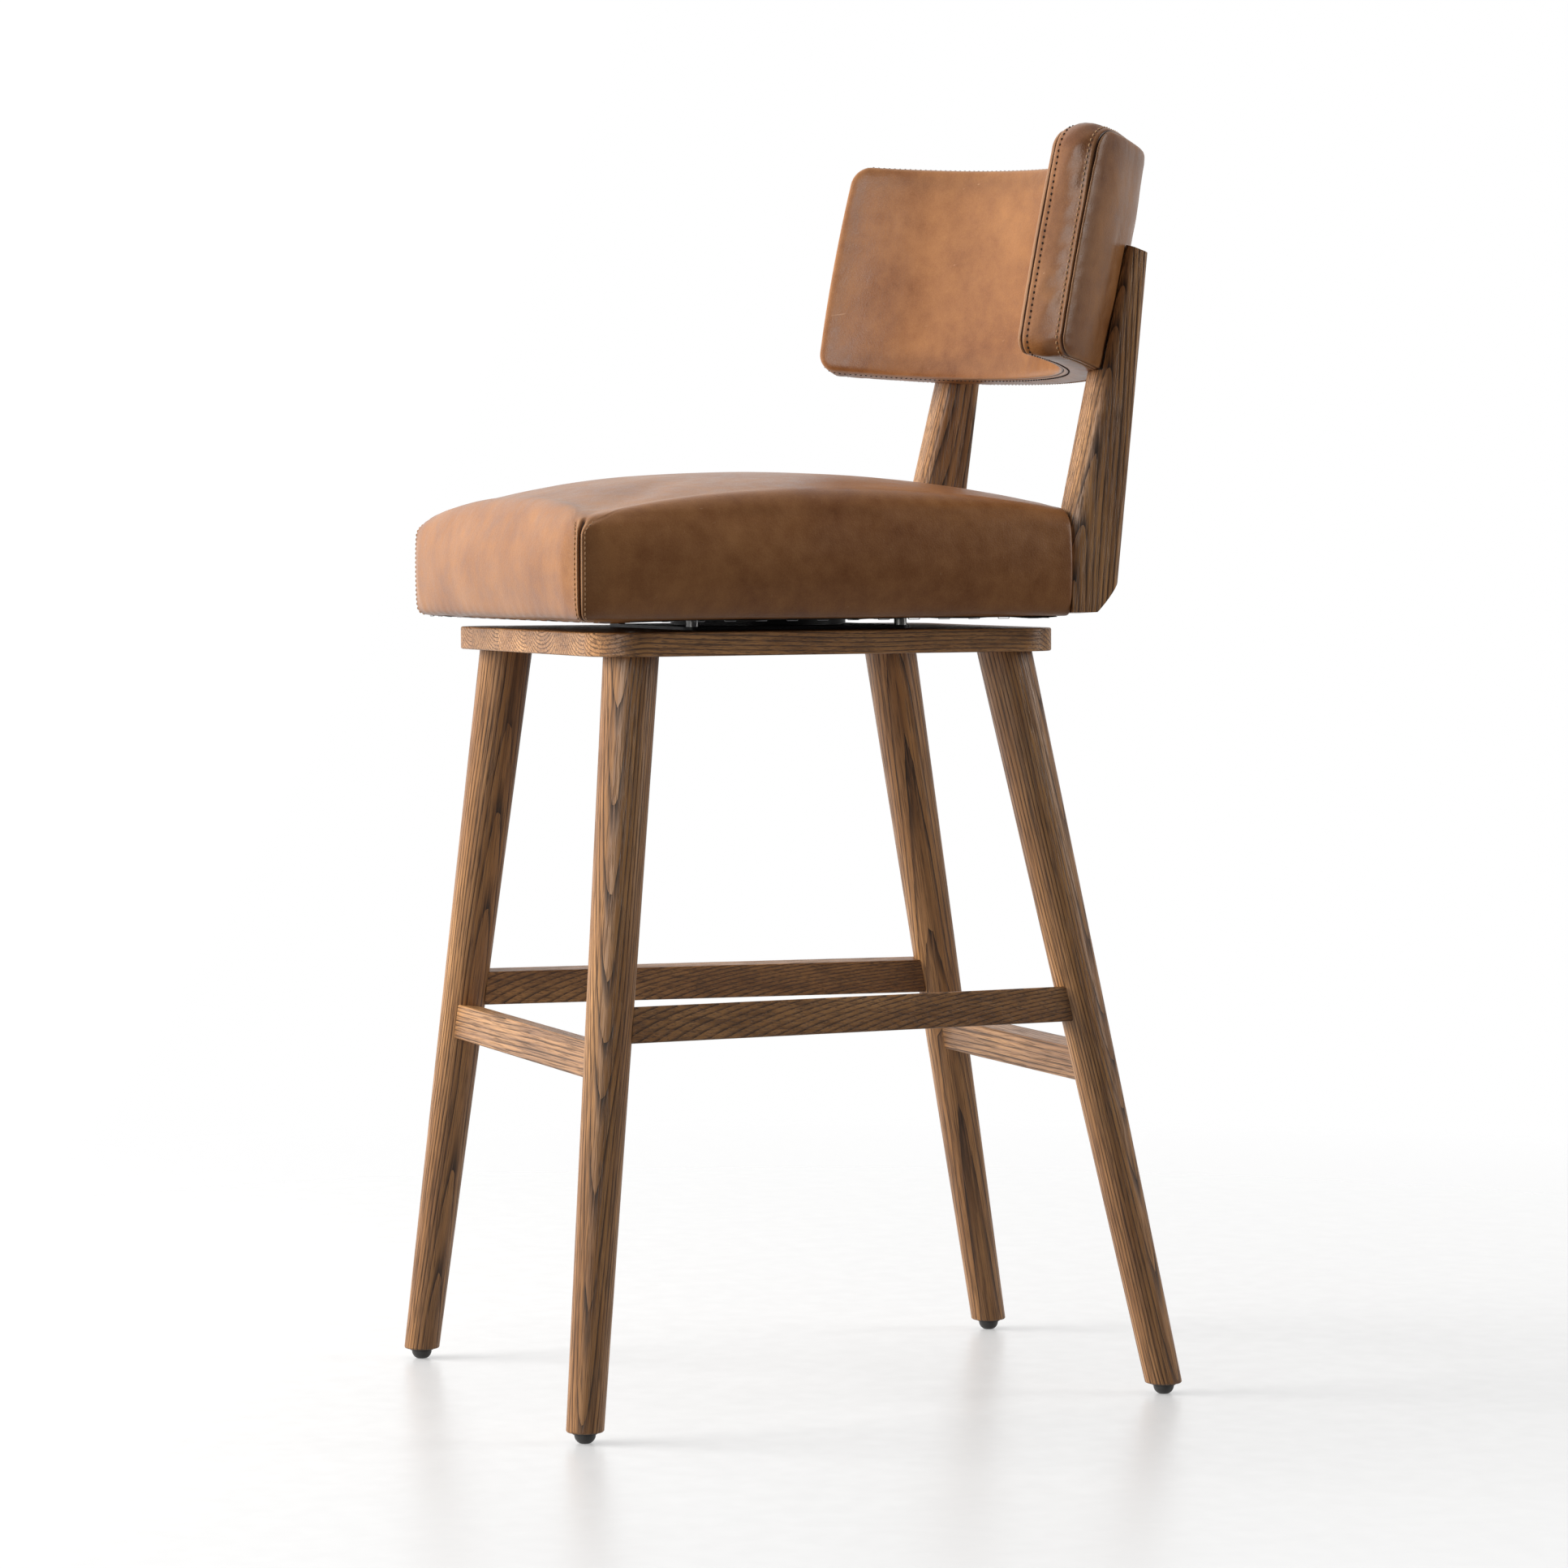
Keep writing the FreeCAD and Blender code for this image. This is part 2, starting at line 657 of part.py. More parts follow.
def build_back():
    holes = [back_screw(side, height, hole_gap) for side, height in BACK_SCREWS]
    layers = {
        "back_foam_front": pad_block(pad_front_r + pad_skin, shell_front_r, pad_skin),
        "back_shell": pad_block(shell_front_r, shell_rear_r, pad_skin),
        "back_foam_rear": pad_block(shell_rear_r, pad_rear_r - pad_skin, pad_skin),
        "back_cover_front": pad_block(pad_front_r, pad_front_r + pad_skin, 0.0),
        "back_cover_rear": pad_block(pad_rear_r - pad_skin, pad_rear_r, 0.0),
    }
    band = pad_block(pad_front_r + pad_skin, pad_rear_r - pad_skin, 0.0)
    filling = pad_block(pad_front_r + pad_skin - 1, pad_rear_r - pad_skin + 1, pad_skin)
    layers["back_cover_band"] = band.cut(filling)
    for node, layer in layers.items():
        layer.Placement = pad_placement()
        export(node, layer.cut(holes))
    screws = [back_screw(side, height) for side, height in BACK_SCREWS]
    export("back_screws", Part.makeCompound(screws))


# ---- posts --------------------------------------------------------------------------

def post_section(z):
    """Level section of the right post: a rectangle with four round corners."""
    front_slope = (post_front_top[0] - post_front_y) / (post_front_top[1] - post_knee_z)
    back_slope = (post_back_top[0] - post_back_bottom_y) / (post_back_top[1] - post_bottom_z)
    front = post_front_y + front_slope * (z - post_knee_z)
    back = post_back_bottom_y + back_slope * (z - post_bottom_z)
    t = (z - post_knee_z) / (post_front_top[1] - post_knee_z)
    front_r = post_front_round[0] + (post_front_round[1] - post_front_round[0]) * t
    inner_x = post_outer_x - post_thick
    corners = [
        (post_outer_x - front_r, front + front_r, front_r, -90),
        (post_outer_x - post_back_round, back - post_back_round, post_back_round, 0),
        (inner_x + post_back_round, back - post_back_round, post_back_round, 90),
        (inner_x + front_r * 0.75, front + front_r * 0.75, front_r * 0.75, 180),
    ]
    arcs = []
    for x, y, r, start in corners:
        turns = [math.radians(start + step) for step in (0, 45, 90)]
        arcs.append([Vector(x + r * math.cos(a), y + r * math.sin(a), z) for a in turns])
    edges = []
    for i, arc in enumerate(arcs):
        edges.append(Part.Arc(*arc).toShape())
        edges.append(Part.makeLine(arc[2], arcs[(i + 1) % 4][0]))
    return Part.Wire(edges)


def post_profile():
    """Side view of a post: upright front against the seat, round heel, cut-off top."""
    back_slope = (post_back_top[0] - post_back_bottom_y) / (post_back_top[1] - post_bottom_z)
    heel_depth, heel_height = post_heel
    heel_y = post_back_bottom_y - heel_depth
    heel_z = post_bottom_z + heel_height
    back_y = post_back_bottom_y + back_slope * heel_height
    front_z = post_front_top[1] + 0.5
    points = [Vector(0, post_front_y, post_bottom_z), Vector(0, post_front_y, front_z),
              Vector(0, post_front_top[0], front_z), Vector(0, post_back_top[0] + 1, post_back_top[1]),
              Vector(0, back_y + 0.3, heel_z)]
    heel = Vector(0, heel_y, post_bottom_z)
    outward = Vector(0, heel_height, -heel_depth).normalize()
    arc_mid = (heel + points[-1]) * 0.5 + outward * post_heel_bulge
    edges = [Part.makeLine(p, q) for p, q in zip(points, points[1:])]
    edges.append(Part.Arc(points[-1], arc_mid, heel).toShape())
    edges.append(Part.makeLine(heel, points[0]))
    return Part.Face(Part.Wire(edges)).extrude(Vector(post_outer_x + 20, 0, 0))


def build_posts():
    sections = [post_section(post_bottom_z - 1), post_section(post_front_top[1] + 5)]
    post = Part.makeLoft(sections, True, True).common(post_profile())
    pivot = Vector(post_outer_x, 0, post_bottom_z)
    post.rotate(pivot, Vector(0, 1, 0), -post_lean)
    pad = pad_block(pad_front_r - 60, pad_rear_r + pad_gap, -pad_gap)
    pad.Placement = pad_placement()
    tools = [seat_bolt("right", z, hole_gap) for z in post_bolt_z]
    tools += [back_screw("right", h, hole_gap) for h in back_screw_heights]
    post = post.cut([pad] + tools)
    export("post_right", post)
    export("post_left", mirrored(post))


build_base()
build_swivel()
build_seat()
build_back()
build_posts()
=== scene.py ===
"""Bar stool with a footrest: leather, stained ash and dark steel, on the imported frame.

Lengths are in mm until a mesh is made. Materials, lights and the camera are in metres.
"""
from math import acos, atan2, cos, pi, radians, sin, tan, tau

import bmesh
import bpy
import numpy as np
from mathutils import Matrix, Vector, kdtree, noise
from numpy.linalg import norm


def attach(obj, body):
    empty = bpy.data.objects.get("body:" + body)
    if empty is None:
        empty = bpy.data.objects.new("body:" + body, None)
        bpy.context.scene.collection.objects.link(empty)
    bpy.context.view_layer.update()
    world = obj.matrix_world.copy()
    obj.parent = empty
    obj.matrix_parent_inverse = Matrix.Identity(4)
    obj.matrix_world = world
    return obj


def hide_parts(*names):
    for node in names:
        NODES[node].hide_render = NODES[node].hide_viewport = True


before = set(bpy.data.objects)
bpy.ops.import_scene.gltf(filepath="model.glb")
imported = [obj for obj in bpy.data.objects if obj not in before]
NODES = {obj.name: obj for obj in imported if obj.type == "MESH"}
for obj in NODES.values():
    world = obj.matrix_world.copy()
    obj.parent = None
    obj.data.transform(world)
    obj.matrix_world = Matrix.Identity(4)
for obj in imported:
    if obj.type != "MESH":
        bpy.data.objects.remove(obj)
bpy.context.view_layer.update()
MM = 0.001

# ---- sizes, mm
SEAT_FRONT_Y, SEAT_REAR_Y = -272.3, 162.2
SEAT_FRONT_HALF, SEAT_REAR_HALF = 219.0, 186.0
SEAT_CORNER_R = 28.0
SEAT_EDGE_R, SEAT_PILLOW_R = 7.0, 40.0
SEAT_BOTTOM_Z, SEAT_CROWN_Z = 643.4, 762.0
SEAT_CROWN_R, SEAT_CROWN_Y = 1265.0, -55.0
SEAT_ROUND = 25.0
SEAT_FOOT = 5.0
SEAM_TOP_Z = 722.0
SEAT_BELLY = 5.0
TOP_SETTLE, FRONT_SLUMP = 1.6, 2.2
SWIVEL_Y = -40.3
PLATE_HOLE_HALF = 91.0
CLOTH_IN, STAPLES_IN = 9.5, 13.5

PAD_ORIGIN = (0.0, -40.0, 962.0)
PAD_TIP = radians(6.2)
PAD_SHEAR = tan(radians(11.3 - 6.2))
PAD_MID_R = 288.5
PAD_HALF_W = radians(54.2) * PAD_MID_R
PAD_HALF_H = 92.3
PAD_CORNER_R = 16.5
FRONT_SEAM_R, REAR_SEAM_R = 272.2, 305.0
FRONT_CENTRE_R, REAR_CENTRE_R = 265.8, 309.0
FRONT_BACK_R, REAR_BACK_R = 279.0, 299.5
POST_FACE_R = 309.0
POST_X, POST_HALF_X, POST_TOP_Z = 161.5, 18.3, 946.0
POST_CLEAR, POST_FADE = 3, 30
TOPSTITCH = 4.6
PAD_BOW, PAD_BOW_FROM = 3.0, 150
PAD_END_CROWN, PAD_END_LIFT = 5.0, 0.8
PAD_FLARE = 5.0
PAD_STEP, PATTERN_STEP = 2.6, 5.2


# ---- node trees
class Graph:
    """A node tree, with short names for the nodes that this script uses."""

    def __init__(self, tree, shader):
        self.tree, self.shader = tree, tree.nodes[shader]

    def put(self, socket, value):
        if isinstance(value, bpy.types.NodeSocket):
            self.tree.links.new(value, socket)
        else:
            socket.default_value = value

    def set(self, name, value):
        self.put(self.shader.inputs[name], value)

    def add(self, kind, inputs=None, **attributes):
        node = self.tree.nodes.new("ShaderNode" + kind)
        for key, value in attributes.items():
            setattr(node, key, value)
        for key, value in (inputs or {}).items():
            self.put(node.inputs[key], value)
        return node

    def calc(self, operation, a, b=0.0):
        return self.add("Math", {0: a, 1: b}, operation=operation).outputs[0]

    def plus(self, a, b):
        return self.calc("ADD", a, b)

    def minus(self, a, b):
        return self.calc("SUBTRACT", a, b)

    def times(self, a, b):
        return self.calc("MULTIPLY", a, b)

    def span(self, value, low, high, to_low=0.0, to_high=1.0):
        return self.add("MapRange", {
            "Value": value, "From Min": low, "From Max": high, "To Min": to_low, "To Max": to_high,
        }, clamp=True).outputs[0]

    def grain(self, vector, scale, detail=2.0, roughness=0.5, distortion=0.0):
        return self.add("TexNoise", {
            "Vector": vector, "Scale": scale, "Detail": detail,
            "Roughness": roughness, "Distortion": distortion,
        }).outputs["Fac"]

    def blend(self, factor, a, b, mode="MIX"):
        inputs = {0: factor, 6: a, 7: b}
        return self.add("Mix", inputs, data_type="RGBA", blend_type=mode).outputs[2]

    def vector(self, operation, inputs):
        return self.add("VectorMath", inputs, operation=operation).outputs

    def stretched(self, vector, x, y, z):
        return self.vector("MULTIPLY", {0: vector, 1: (x, y, z)})[0]

    def split(self, vector):
        return self.add("SeparateXYZ", {0: vector}).outputs

    def place(self):
        return self.add("TexCoord").outputs["Object"]

    def relief(self, height, strength, distance):
        inputs = {"Height": height, "Strength": strength, "Distance": distance}
        self.set("Normal", self.add("Bump", inputs).outputs[0])


def new_finish(name):
    mat = bpy.data.materials.new(name)
    mat.use_nodes = True
    return mat, Graph(mat.node_tree, "Principled BSDF")


# ---- finishes
ASH_PALE = (0.580, 0.295, 0.116, 1)
ASH_MID = (0.320, 0.144, 0.052, 1)
ASH_DEEP = (0.115, 0.048, 0.019, 1)
ASH_PORE = (0.010, 0.005, 0.003, 1)
ASH_SPECULAR = 0.42
EARLY_WOOD = 0.42  # the porous share of a growth ring

LEATHER_DEEP = (0.190, 0.064, 0.016, 1)
LEATHER_TAN = (0.385, 0.166, 0.054, 1)
# pale: dry edges at the seams with a painted highlight
LEATHER_WORN_AND_HIGHLIGHT = (0.60, 0.36, 0.20, 1)
# dark: painted shade in seam grooves and along stitch rows
LEATHER_PAINTED_SHADE = (0.045, 0.016, 0.007, 1)
LEATHER_SCRATCH = (0.56, 0.33, 0.19, 1)
LEATHER_SPECULAR = 0.40

PLY_PALE = (0.62, 0.44, 0.26, 1)
PLY_DARK = (0.40, 0.25, 0.13, 1)
PLY_FIGURE = (0.36, 0.21, 0.10, 1)
PLY_PAIR = 0.0028  # two plies, one pale and one dark
WEAVE_PITCH = 0.0011


def ash(name, along, centre, pith, tilt, ring=0.0030, strip=0.0, shade=0.0, sway=0.020):
    """Stained open-pored ash. along is the grain's direction and centre a point on the piece, mm.

    pith is the tree's middle beside the piece, ring the pitch of the growth rings, sway how far
    they wander, and strip the width of the strips that a board is glued from, all in metres.
    tilt is the rings' lean along the grain, and shade makes the wood paler.
    """
    mat, g = new_finish(name)
    turn = Vector(along).normalized().rotation_difference(Vector((0, 0, 1)))
    spot = g.add("Mapping", {
        "Vector": g.place(),
        "Location": -(turn @ (Vector(centre) * MM)),
        "Rotation": turn.to_euler("XYZ"),
    }).outputs[0]
    across, deep, up = g.split(spot)
    pith_x, pith_y = pith
    if strip:
        board = g.calc("FLOOR", g.calc("DIVIDE", across, strip))
        chance = g.add("TexWhiteNoise", {"W": board}, noise_dimensions="1D")
        chances = g.add("SeparateColor", {0: chance.outputs["Color"]}).outputs
        start = g.times(board, strip)
        across = g.minus(g.minus(across, start), strip / 2)
        across = g.plus(across, g.span(chances[0], 0, 1, -strip * 0.4, strip * 0.4))
        pith_y = g.span(chances[1], 0, 1, -0.045, -0.018)
        shade = g.span(chances[2], 0, 1, -0.10, 0.14)
    drift = g.grain(g.stretched(spot, 7, 7, 2.2), 1.0)
    dx = g.plus(g.minus(across, pith_x), g.times(up, tilt))
    dy = g.minus(deep, pith_y)
    far = g.calc("SQRT", g.plus(g.times(dx, dx), g.times(dy, dy)))
    far = g.plus(far, g.times(drift, sway))
    turns = g.calc("FRACT", g.calc("DIVIDE", far, ring))
    early = g.span(turns, 0.0, EARLY_WOOD, 1.0, 0.0)
    dashes = g.grain(g.stretched(spot, 1, 1, 0.035), 520, 2.0, 0.6)
    dash = g.span(dashes, 0.40, 0.52)
    fibres = g.grain(g.stretched(spot, 1, 1, 0.025), 1100)
    fine = g.times(g.span(fibres, 0.52, 0.64), 0.60)
    pores = g.calc("MAXIMUM", g.times(early, dash), fine)
    streak = g.grain(g.stretched(spot, 1, 1, 0.02), 240, 3.0, 0.6)
    cloud = g.grain(g.stretched(spot, 1, 1, 0.22), 26, 3.0)
    base = g.blend(g.span(cloud, 0.30, 0.70), ASH_MID, ASH_PALE)
    base = g.blend(g.times(early, 0.72), base, ASH_DEEP)
    base = g.blend(g.span(streak, 0.46, 0.66, 0.0, 0.55), base, ASH_DEEP)
    silk = g.grain(g.stretched(spot, 1, 1, 0.02), 2600, 1.0)
    light = g.plus(g.span(silk, 0.3, 0.7, 0.86, 1.14), shade)
    grey = g.add("CombineColor", {0: light, 1: light, 2: light}).outputs[0]
    base = g.blend(1.0, base, grey, "MULTIPLY")
    g.set("Base Color", g.blend(g.times(pores, 0.88), base, ASH_PORE))
    g.set("Roughness", g.span(g.plus(pores, g.times(cloud, 0.3)), 0, 1.2, 0.30, 0.60))
    g.set("Specular IOR Level", ASH_SPECULAR)
    g.relief(g.minus(g.times(silk, 0.25), pores), 0.55, 0.0005)
    return mat


def leather():
    """Tan aniline leather: soft clouds, a fine pebble and short scratches.

    Where the mesh's point value is high its edges are pale, dry edges with a painted highlight;
    where it is low they are dark, painted shade in seam grooves and along stitch rows.
    """
    mat, g = new_finish("leather")
    spot = g.place()
    cloud = g.grain(spot, 11, 3.0, 0.55, 0.4)
    mottle = g.grain(spot, 75, 3.0, 0.6)
    speck = g.grain(spot, 900, 2.0, 0.6)
    tone = g.plus(g.times(cloud, 0.55), g.times(mottle, 0.30))
    tone = g.plus(tone, g.times(speck, 0.22))
    base = g.blend(g.span(tone, 0.36, 0.70), LEATHER_DEEP, LEATHER_TAN)
    wear_and_painted_light = g.add("Attribute", attribute_name="wear_and_painted_light").outputs["Fac"]
    # pale where the value is high: dry seam edges with a painted highlight
    base = g.blend(g.span(wear_and_painted_light, 0.0, 1.0, 0.0, 0.62), base, LEATHER_WORN_AND_HIGHLIGHT)
    # dark where it is low: painted shade in seam grooves, on stitch rows and at the back band's
    # ends
    base = g.blend(g.span(wear_and_painted_light, 0.0, -1.0, 0.0, 0.85), base, LEATHER_PAINTED_SHADE)
    turned = g.add("Mapping", {"Vector": spot, "Rotation": (0.5, 0.7, 0.9)}).outputs[0]
    scratch = g.grain(g.stretched(turned, 1, 0.06, 1), 420, 1.0)
    scratch = g.times(g.span(scratch, 0.735, 0.80), g.span(g.grain(spot, 30, 1.0), 0.50, 0.62))
    g.set("Base Color", g.blend(g.times(scratch, 0.35), base, LEATHER_SCRATCH))
    pebbles = {"Vector": spot, "Scale": 820.0, "Randomness": 1.0}
    pebble = g.add("TexVoronoi", pebbles, feature="SMOOTH_F1").outputs["Distance"]
    creases = g.grain(g.stretched(spot, 1, 1, 0.45), 210, 3.0, 0.62, 0.6)
    height = g.plus(g.times(pebble, 0.55), g.times(creases, 0.7))
    g.set("Roughness", g.span(g.plus(mottle, g.times(pebble, 0.4)), 0.3, 1.0, 0.27, 0.44))
    g.set("Specular IOR Level", LEATHER_SPECULAR)
    g.relief(height, 0.30, 0.0006)
    return mat


def speckled(name, dark, pale, scale, roughness, metallic=0.0, relief=0.2, depth=0.0003,
             squash=(1, 1, 1)):
    """Any plain finish whose colour, gloss and surface vary with one grain."""
    mat, g = new_finish(name)
    spot = g.stretched(g.place(), *squash)
    fine = g.grain(spot, scale, 3.0, 0.6)
    broad = g.grain(spot, scale / 14)
    both = g.plus(g.times(fine, 0.6), g.times(broad, 0.4))
    g.set("Base Color", g.blend(g.span(both, 0.35, 0.65), (*dark, 1), (*pale, 1)))
    g.set("Roughness", g.span(both, 0.3, 0.7, roughness * 0.8, min(roughness * 1.2, 1.0)))
    g.set("Metallic", metallic)
    g.relief(fine, relief, depth)
    return mat


def plywood():
    """Birch plywood: plies 1.4 mm thick seen on the edge, long grain on the faces."""
    mat, g = new_finish("plywood")
    spot = g.place()
    ply = g.calc("FRACT", g.calc("DIVIDE", g.split(spot)[2], PLY_PAIR))
    band = g.span(g.calc("ABSOLUTE", g.minus(ply, 0.5)), 0.22, 0.28)
    figure = g.grain(g.stretched(spot, 1, 0.05, 1), 300, 3.0)
    base = g.blend(band, PLY_PALE, PLY_DARK)
    g.set("Base Color", g.blend(g.span(figure, 0.4, 0.7, 0.0, 0.5), base, PLY_FIGURE))
    g.set("Roughness", 0.7)
    g.relief(figure, 0.3, 0.0004)
    return mat


def woven(name, dark, pale):
    """A thin dark cloth with a plain weave."""
    mat, g = new_finish(name)
    xyz = g.split(g.place())
    warp = g.calc("SINE", g.times(xyz[0], tau / WEAVE_PITCH))
    weft = g.calc("SINE", g.times(xyz[1], tau / WEAVE_PITCH))
    weave = g.times(warp, weft)
    fuzz = g.grain(g.place(), 500, 3.0, 0.7)
    mixed = g.plus(g.span(weave, -1, 1, 0, 0.6), g.times(fuzz, 0.5))
    g.set("Base Color", g.blend(mixed, (*dark, 1), (*pale, 1)))
    g.set("Roughness", g.span(fuzz, 0.3, 0.7, 0.78, 0.95))
    g.relief(mixed, 0.5, 0.0003)
    return mat


def thread(name, colour, dark):
    """Twisted bonded thread."""
    mat, g = new_finish(name)
    strands = {"Vector": g.place(), "Scale": 1400.0, "Distortion": 2.0, "Detail": 1.0}
    twist = g.add("TexWave", strands, bands_direction="DIAGONAL").outputs["Fac"]
    g.set("Base Color", g.blend(twist, (*dark, 1), (*colour, 1)))
    g.set("Roughness", g.span(twist, 0, 1, 0.55, 0.75))
    g.relief(twist, 0.5, 0.0002)
    return mat


LEATHER = leather()
# dark thread for the front topstitches, also the cords that paint the shade in the seam grooves
DARK_THREAD_AND_SEAM_SHADE = thread("dark_thread_and_seam_shade", (0.050, 0.018, 0.008), (0.012, 0.005, 0.003))
THREAD_TAN = thread("thread_tan", (0.640, 0.400, 0.210), (0.340, 0.170, 0.075))
CLOTH = woven("dust_cover", (0.006, 0.006, 0.006), (0.030, 0.029, 0.028))
WIRE = speckled("staple_wire", (0.30, 0.30, 0.31), (0.55, 0.55, 0.56), 3000, 0.35, metallic=1.0)


# ---- CAD nodes
LEG_ENDS = {  # leg axes, foot then top, mm
    "front": ((221.0, -271.3, 9.0), (161.5, -208.8, 614.0)),
    "rear": ((183.5, 248.7, 9.0), (125.0, 129.2, 614.0)),
}
LEG_PITHS = {
    ("front", "left"): (0.058, 0.012),
    ("front", "right"): (0.050, -0.030),
    ("rear", "left"): (-0.060, 0.018),
    ("rear", "right"): (0.046, 0.034),
}
STRETCHERS = {  # grain, a point inside in mm, pith in metres
    "stretcher_front": ((1, 0, 0), (0, -250, 295), (0.060, 0.070)),
    "stretcher_rear": ((1, 0, 0), (0, 195, 275), (-0.064, 0.072)),
    "stretcher_left": ((-36, 400, 0), (-180, 0, 325), (0.070, 0.060)),
    "stretcher_right": ((36, 400, 0), (180, 0, 325), (-0.068, 0.064)),
}
BOARD_CENTRE, BOARD_STRIP = (12, -40, 624), 0.074


def finish_node(node, mat):
    obj = NODES[node]
    if not obj.material_slots:
        obj.data.materials.append(mat)
    for slot in obj.material_slots:
        slot.material = mat


def finish_wood():
    for (row, side), pith in LEG_PITHS.items():
        sign = 1 if side == "right" else -1
        foot, top = (Vector((sign * x, y, z)) for x, y, z in LEG_ENDS[row])
        middle = (foot + top) / 2
        mat = ash(f"ash_leg_{row}_{side}", top - foot, middle, pith, tilt=0.035 * sign)
        finish_node(f"leg_{row}_{side}", mat)
    for node, (along, centre, pith) in STRETCHERS.items():
        mat = ash("ash_" + node, along, centre, pith, 0.006, ring=0.0024, shade=-0.08, sway=0.007)
        finish_node(node, mat)
    mat = ash("ash_board", (0, 1, 0), BOARD_CENTRE, (0, 0), 0.05, ring=0.0034, strip=BOARD_STRIP)
    finish_node("base_board", mat)
    for side, sign in (("left", -1), ("right", 1)):
        along, centre = (-0.035 * sign, 0.10, 1.0), (sign * 170, 190, 800)
        pith = (0.050 * sign, -0.022)
        mat = ash(f"ash_post_{side}", along, centre, pith, -0.03, ring=0.0033, shade=-0.04)
        finish_node(f"post_{side}", mat)


def finish_hardware():
    steel = speckled("black_steel", (0.010, 0.010, 0.011), (0.022, 0.022, 0.023), 1900, 0.38,
                     relief=0.35, depth=0.0002)
    zinc = speckled("zinc_steel", (0.34, 0.34, 0.35), (0.62, 0.61, 0.58), 700, 0.34, metallic=1.0)
    ball = speckled("ball_steel", (0.52, 0.52, 0.53), (0.66, 0.66, 0.67), 1500, 0.12,
                    metallic=1.0, relief=0.05)
    cage = speckled("cage", (0.055, 0.060, 0.052), (0.10, 0.105, 0.09), 900, 0.5)
    glide = speckled("glide", (0.030, 0.028, 0.026), (0.060, 0.056, 0.052), 1200, 0.48)
    dowel = speckled("dowel", (0.45, 0.30, 0.17), (0.62, 0.45, 0.27), 800, 0.7,
                     squash=(1, 1, 0.08))
    rail = speckled("rail_wood", (0.42, 0.27, 0.14), (0.60, 0.42, 0.24), 500, 0.72,
                    squash=(0.06, 1, 1))
    foam = speckled("foam", (0.62, 0.55, 0.38), (0.78, 0.71, 0.52), 1100, 0.9,
                    relief=0.6, depth=0.0008)
    finishes = {
        steel: ["swivel_lower_plate", "swivel_upper_plate", "swivel_pivot", "upper_plate_bolts"],
        zinc: ["lower_plate_screws", "leg_bolts", "leg_inserts", "glide_nails", "deck_nuts",
               "rail_nuts", "post_seat_bolts", "back_screws"],
        ball: ["bearing_balls"],
        cage: ["ball_cage"],
        glide: [f"glide_{row}_{side}" for row, side in LEG_PITHS],
        dowel: ["leg_dowels"],
        rail: ["seat_rear_rail"],
        foam: ["seat_foam", "back_foam_front", "back_foam_rear"],
        plywood(): ["seat_deck", "back_shell"],
        LEATHER: ["seat_cover", "back_cover_front", "back_cover_rear", "back_cover_band"],
        CLOTH: ["seat_dust_cover"],
    }
    for mat, nodes in finishes.items():
        for node in nodes:
            finish_node(node, mat)


# ---- meshes
def new_object(name, data):
    obj = bpy.data.objects.new(name, data)
    bpy.context.scene.collection.objects.link(obj)
    return obj


def mesh_piece(name, points, faces, mat, smooth=True):
    """A piece that rides on the seat; points are in mm."""
    data = bpy.data.meshes.new(name)
    data.from_pydata((np.asarray(points) * MM).tolist(), [], [list(f) for f in faces])
    data.validate()
    data.materials.append(mat)
    data.polygons.foreach_set("use_smooth", [smooth] * len(data.polygons))
    obj = new_object(name, data)
    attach(obj, "seat")
    return obj


def ring_faces(rings, around, closed=False):
    faces = []
    for j in range(rings if closed else rings - 1):
        a, b = j * around, ((j + 1) % rings) * around
        for i in range(around):
            k = (i + 1) % around
            faces.append((a + i, a + k, b + k, b + i))
    return faces


def rod_faces(first, rings, sides):
    """Faces of a rod with closed ends, whose points start at number first."""
    faces = [tuple(first + k for k in face) for face in ring_faces(rings, sides)]
    faces.append(tuple(first + k for k in reversed(range(sides))))
    faces.append(tuple(first + (rings - 1) * sides + k for k in range(sides)))
    return faces


def weld(obj, distance=0.02):
    """Joins the points that a closed end leaves in one place, and turns every face outward."""
    bm = bmesh.new()
    bm.from_mesh(obj.data)
    bmesh.ops.remove_doubles(bm, verts=bm.verts, dist=distance * MM)
    bmesh.ops.recalc_face_normals(bm, faces=bm.faces)
    bm.to_mesh(obj.data)
    bm.free()


# stores the point value that paints pale edges, wear with a painted highlight, and painted shade
def set_wear_and_painted_light(obj, values):
    layer = obj.data.attributes.new("wear_and_painted_light", "FLOAT", "POINT")
    layer.data.foreach_set("value", np.asarray(values, np.float32))


def unit(vectors):
    return vectors / norm(vectors, axis=1)[:, None]


def ease(x):
    x = np.clip(x, 0.0, 1.0)
    return x * x * (3 - 2 * x)


def bell(x, width):
    return np.exp(-((x / width) ** 2))


def ripple(points, scale, seed=0.0):
    """Smooth noise from -1 to 1 at each point, mm."""
    spots = ((p[0] * scale, p[1] * scale, p[2] * scale + seed) for p in points)
    return np.array([noise.noise(Vector(spot)) for spot in spots])


def lengths(path):
    """How far along a path each of its points lies."""
    return np.concatenate([[0], np.cumsum(norm(np.diff(path, axis=0), axis=1))])


def on_path(s, way, path):
    """The point at length s along a path whose points lie at the lengths in way."""
    return np.array([np.interp(s, way, path[:, axis]) for axis in range(path.shape[1])])


GIVE_FRAMES = 20
GIVE_CALM = 17.0  # the movement is averaged within this distance, mm
GIVE_NEAR, GIVE_SOFT = 7, 1.5  # points that a new point follows, and mm added to each distance
GIVE_CLOTH = {
    "quality": 6, "mass": 0.3, "vertex_group_mass": "held",
    "tension_stiffness": 18, "compression_stiffness": 18, "bending_stiffness": 1.2,
    "use_pressure": True, "uniform_pressure_force": 4.0,
}


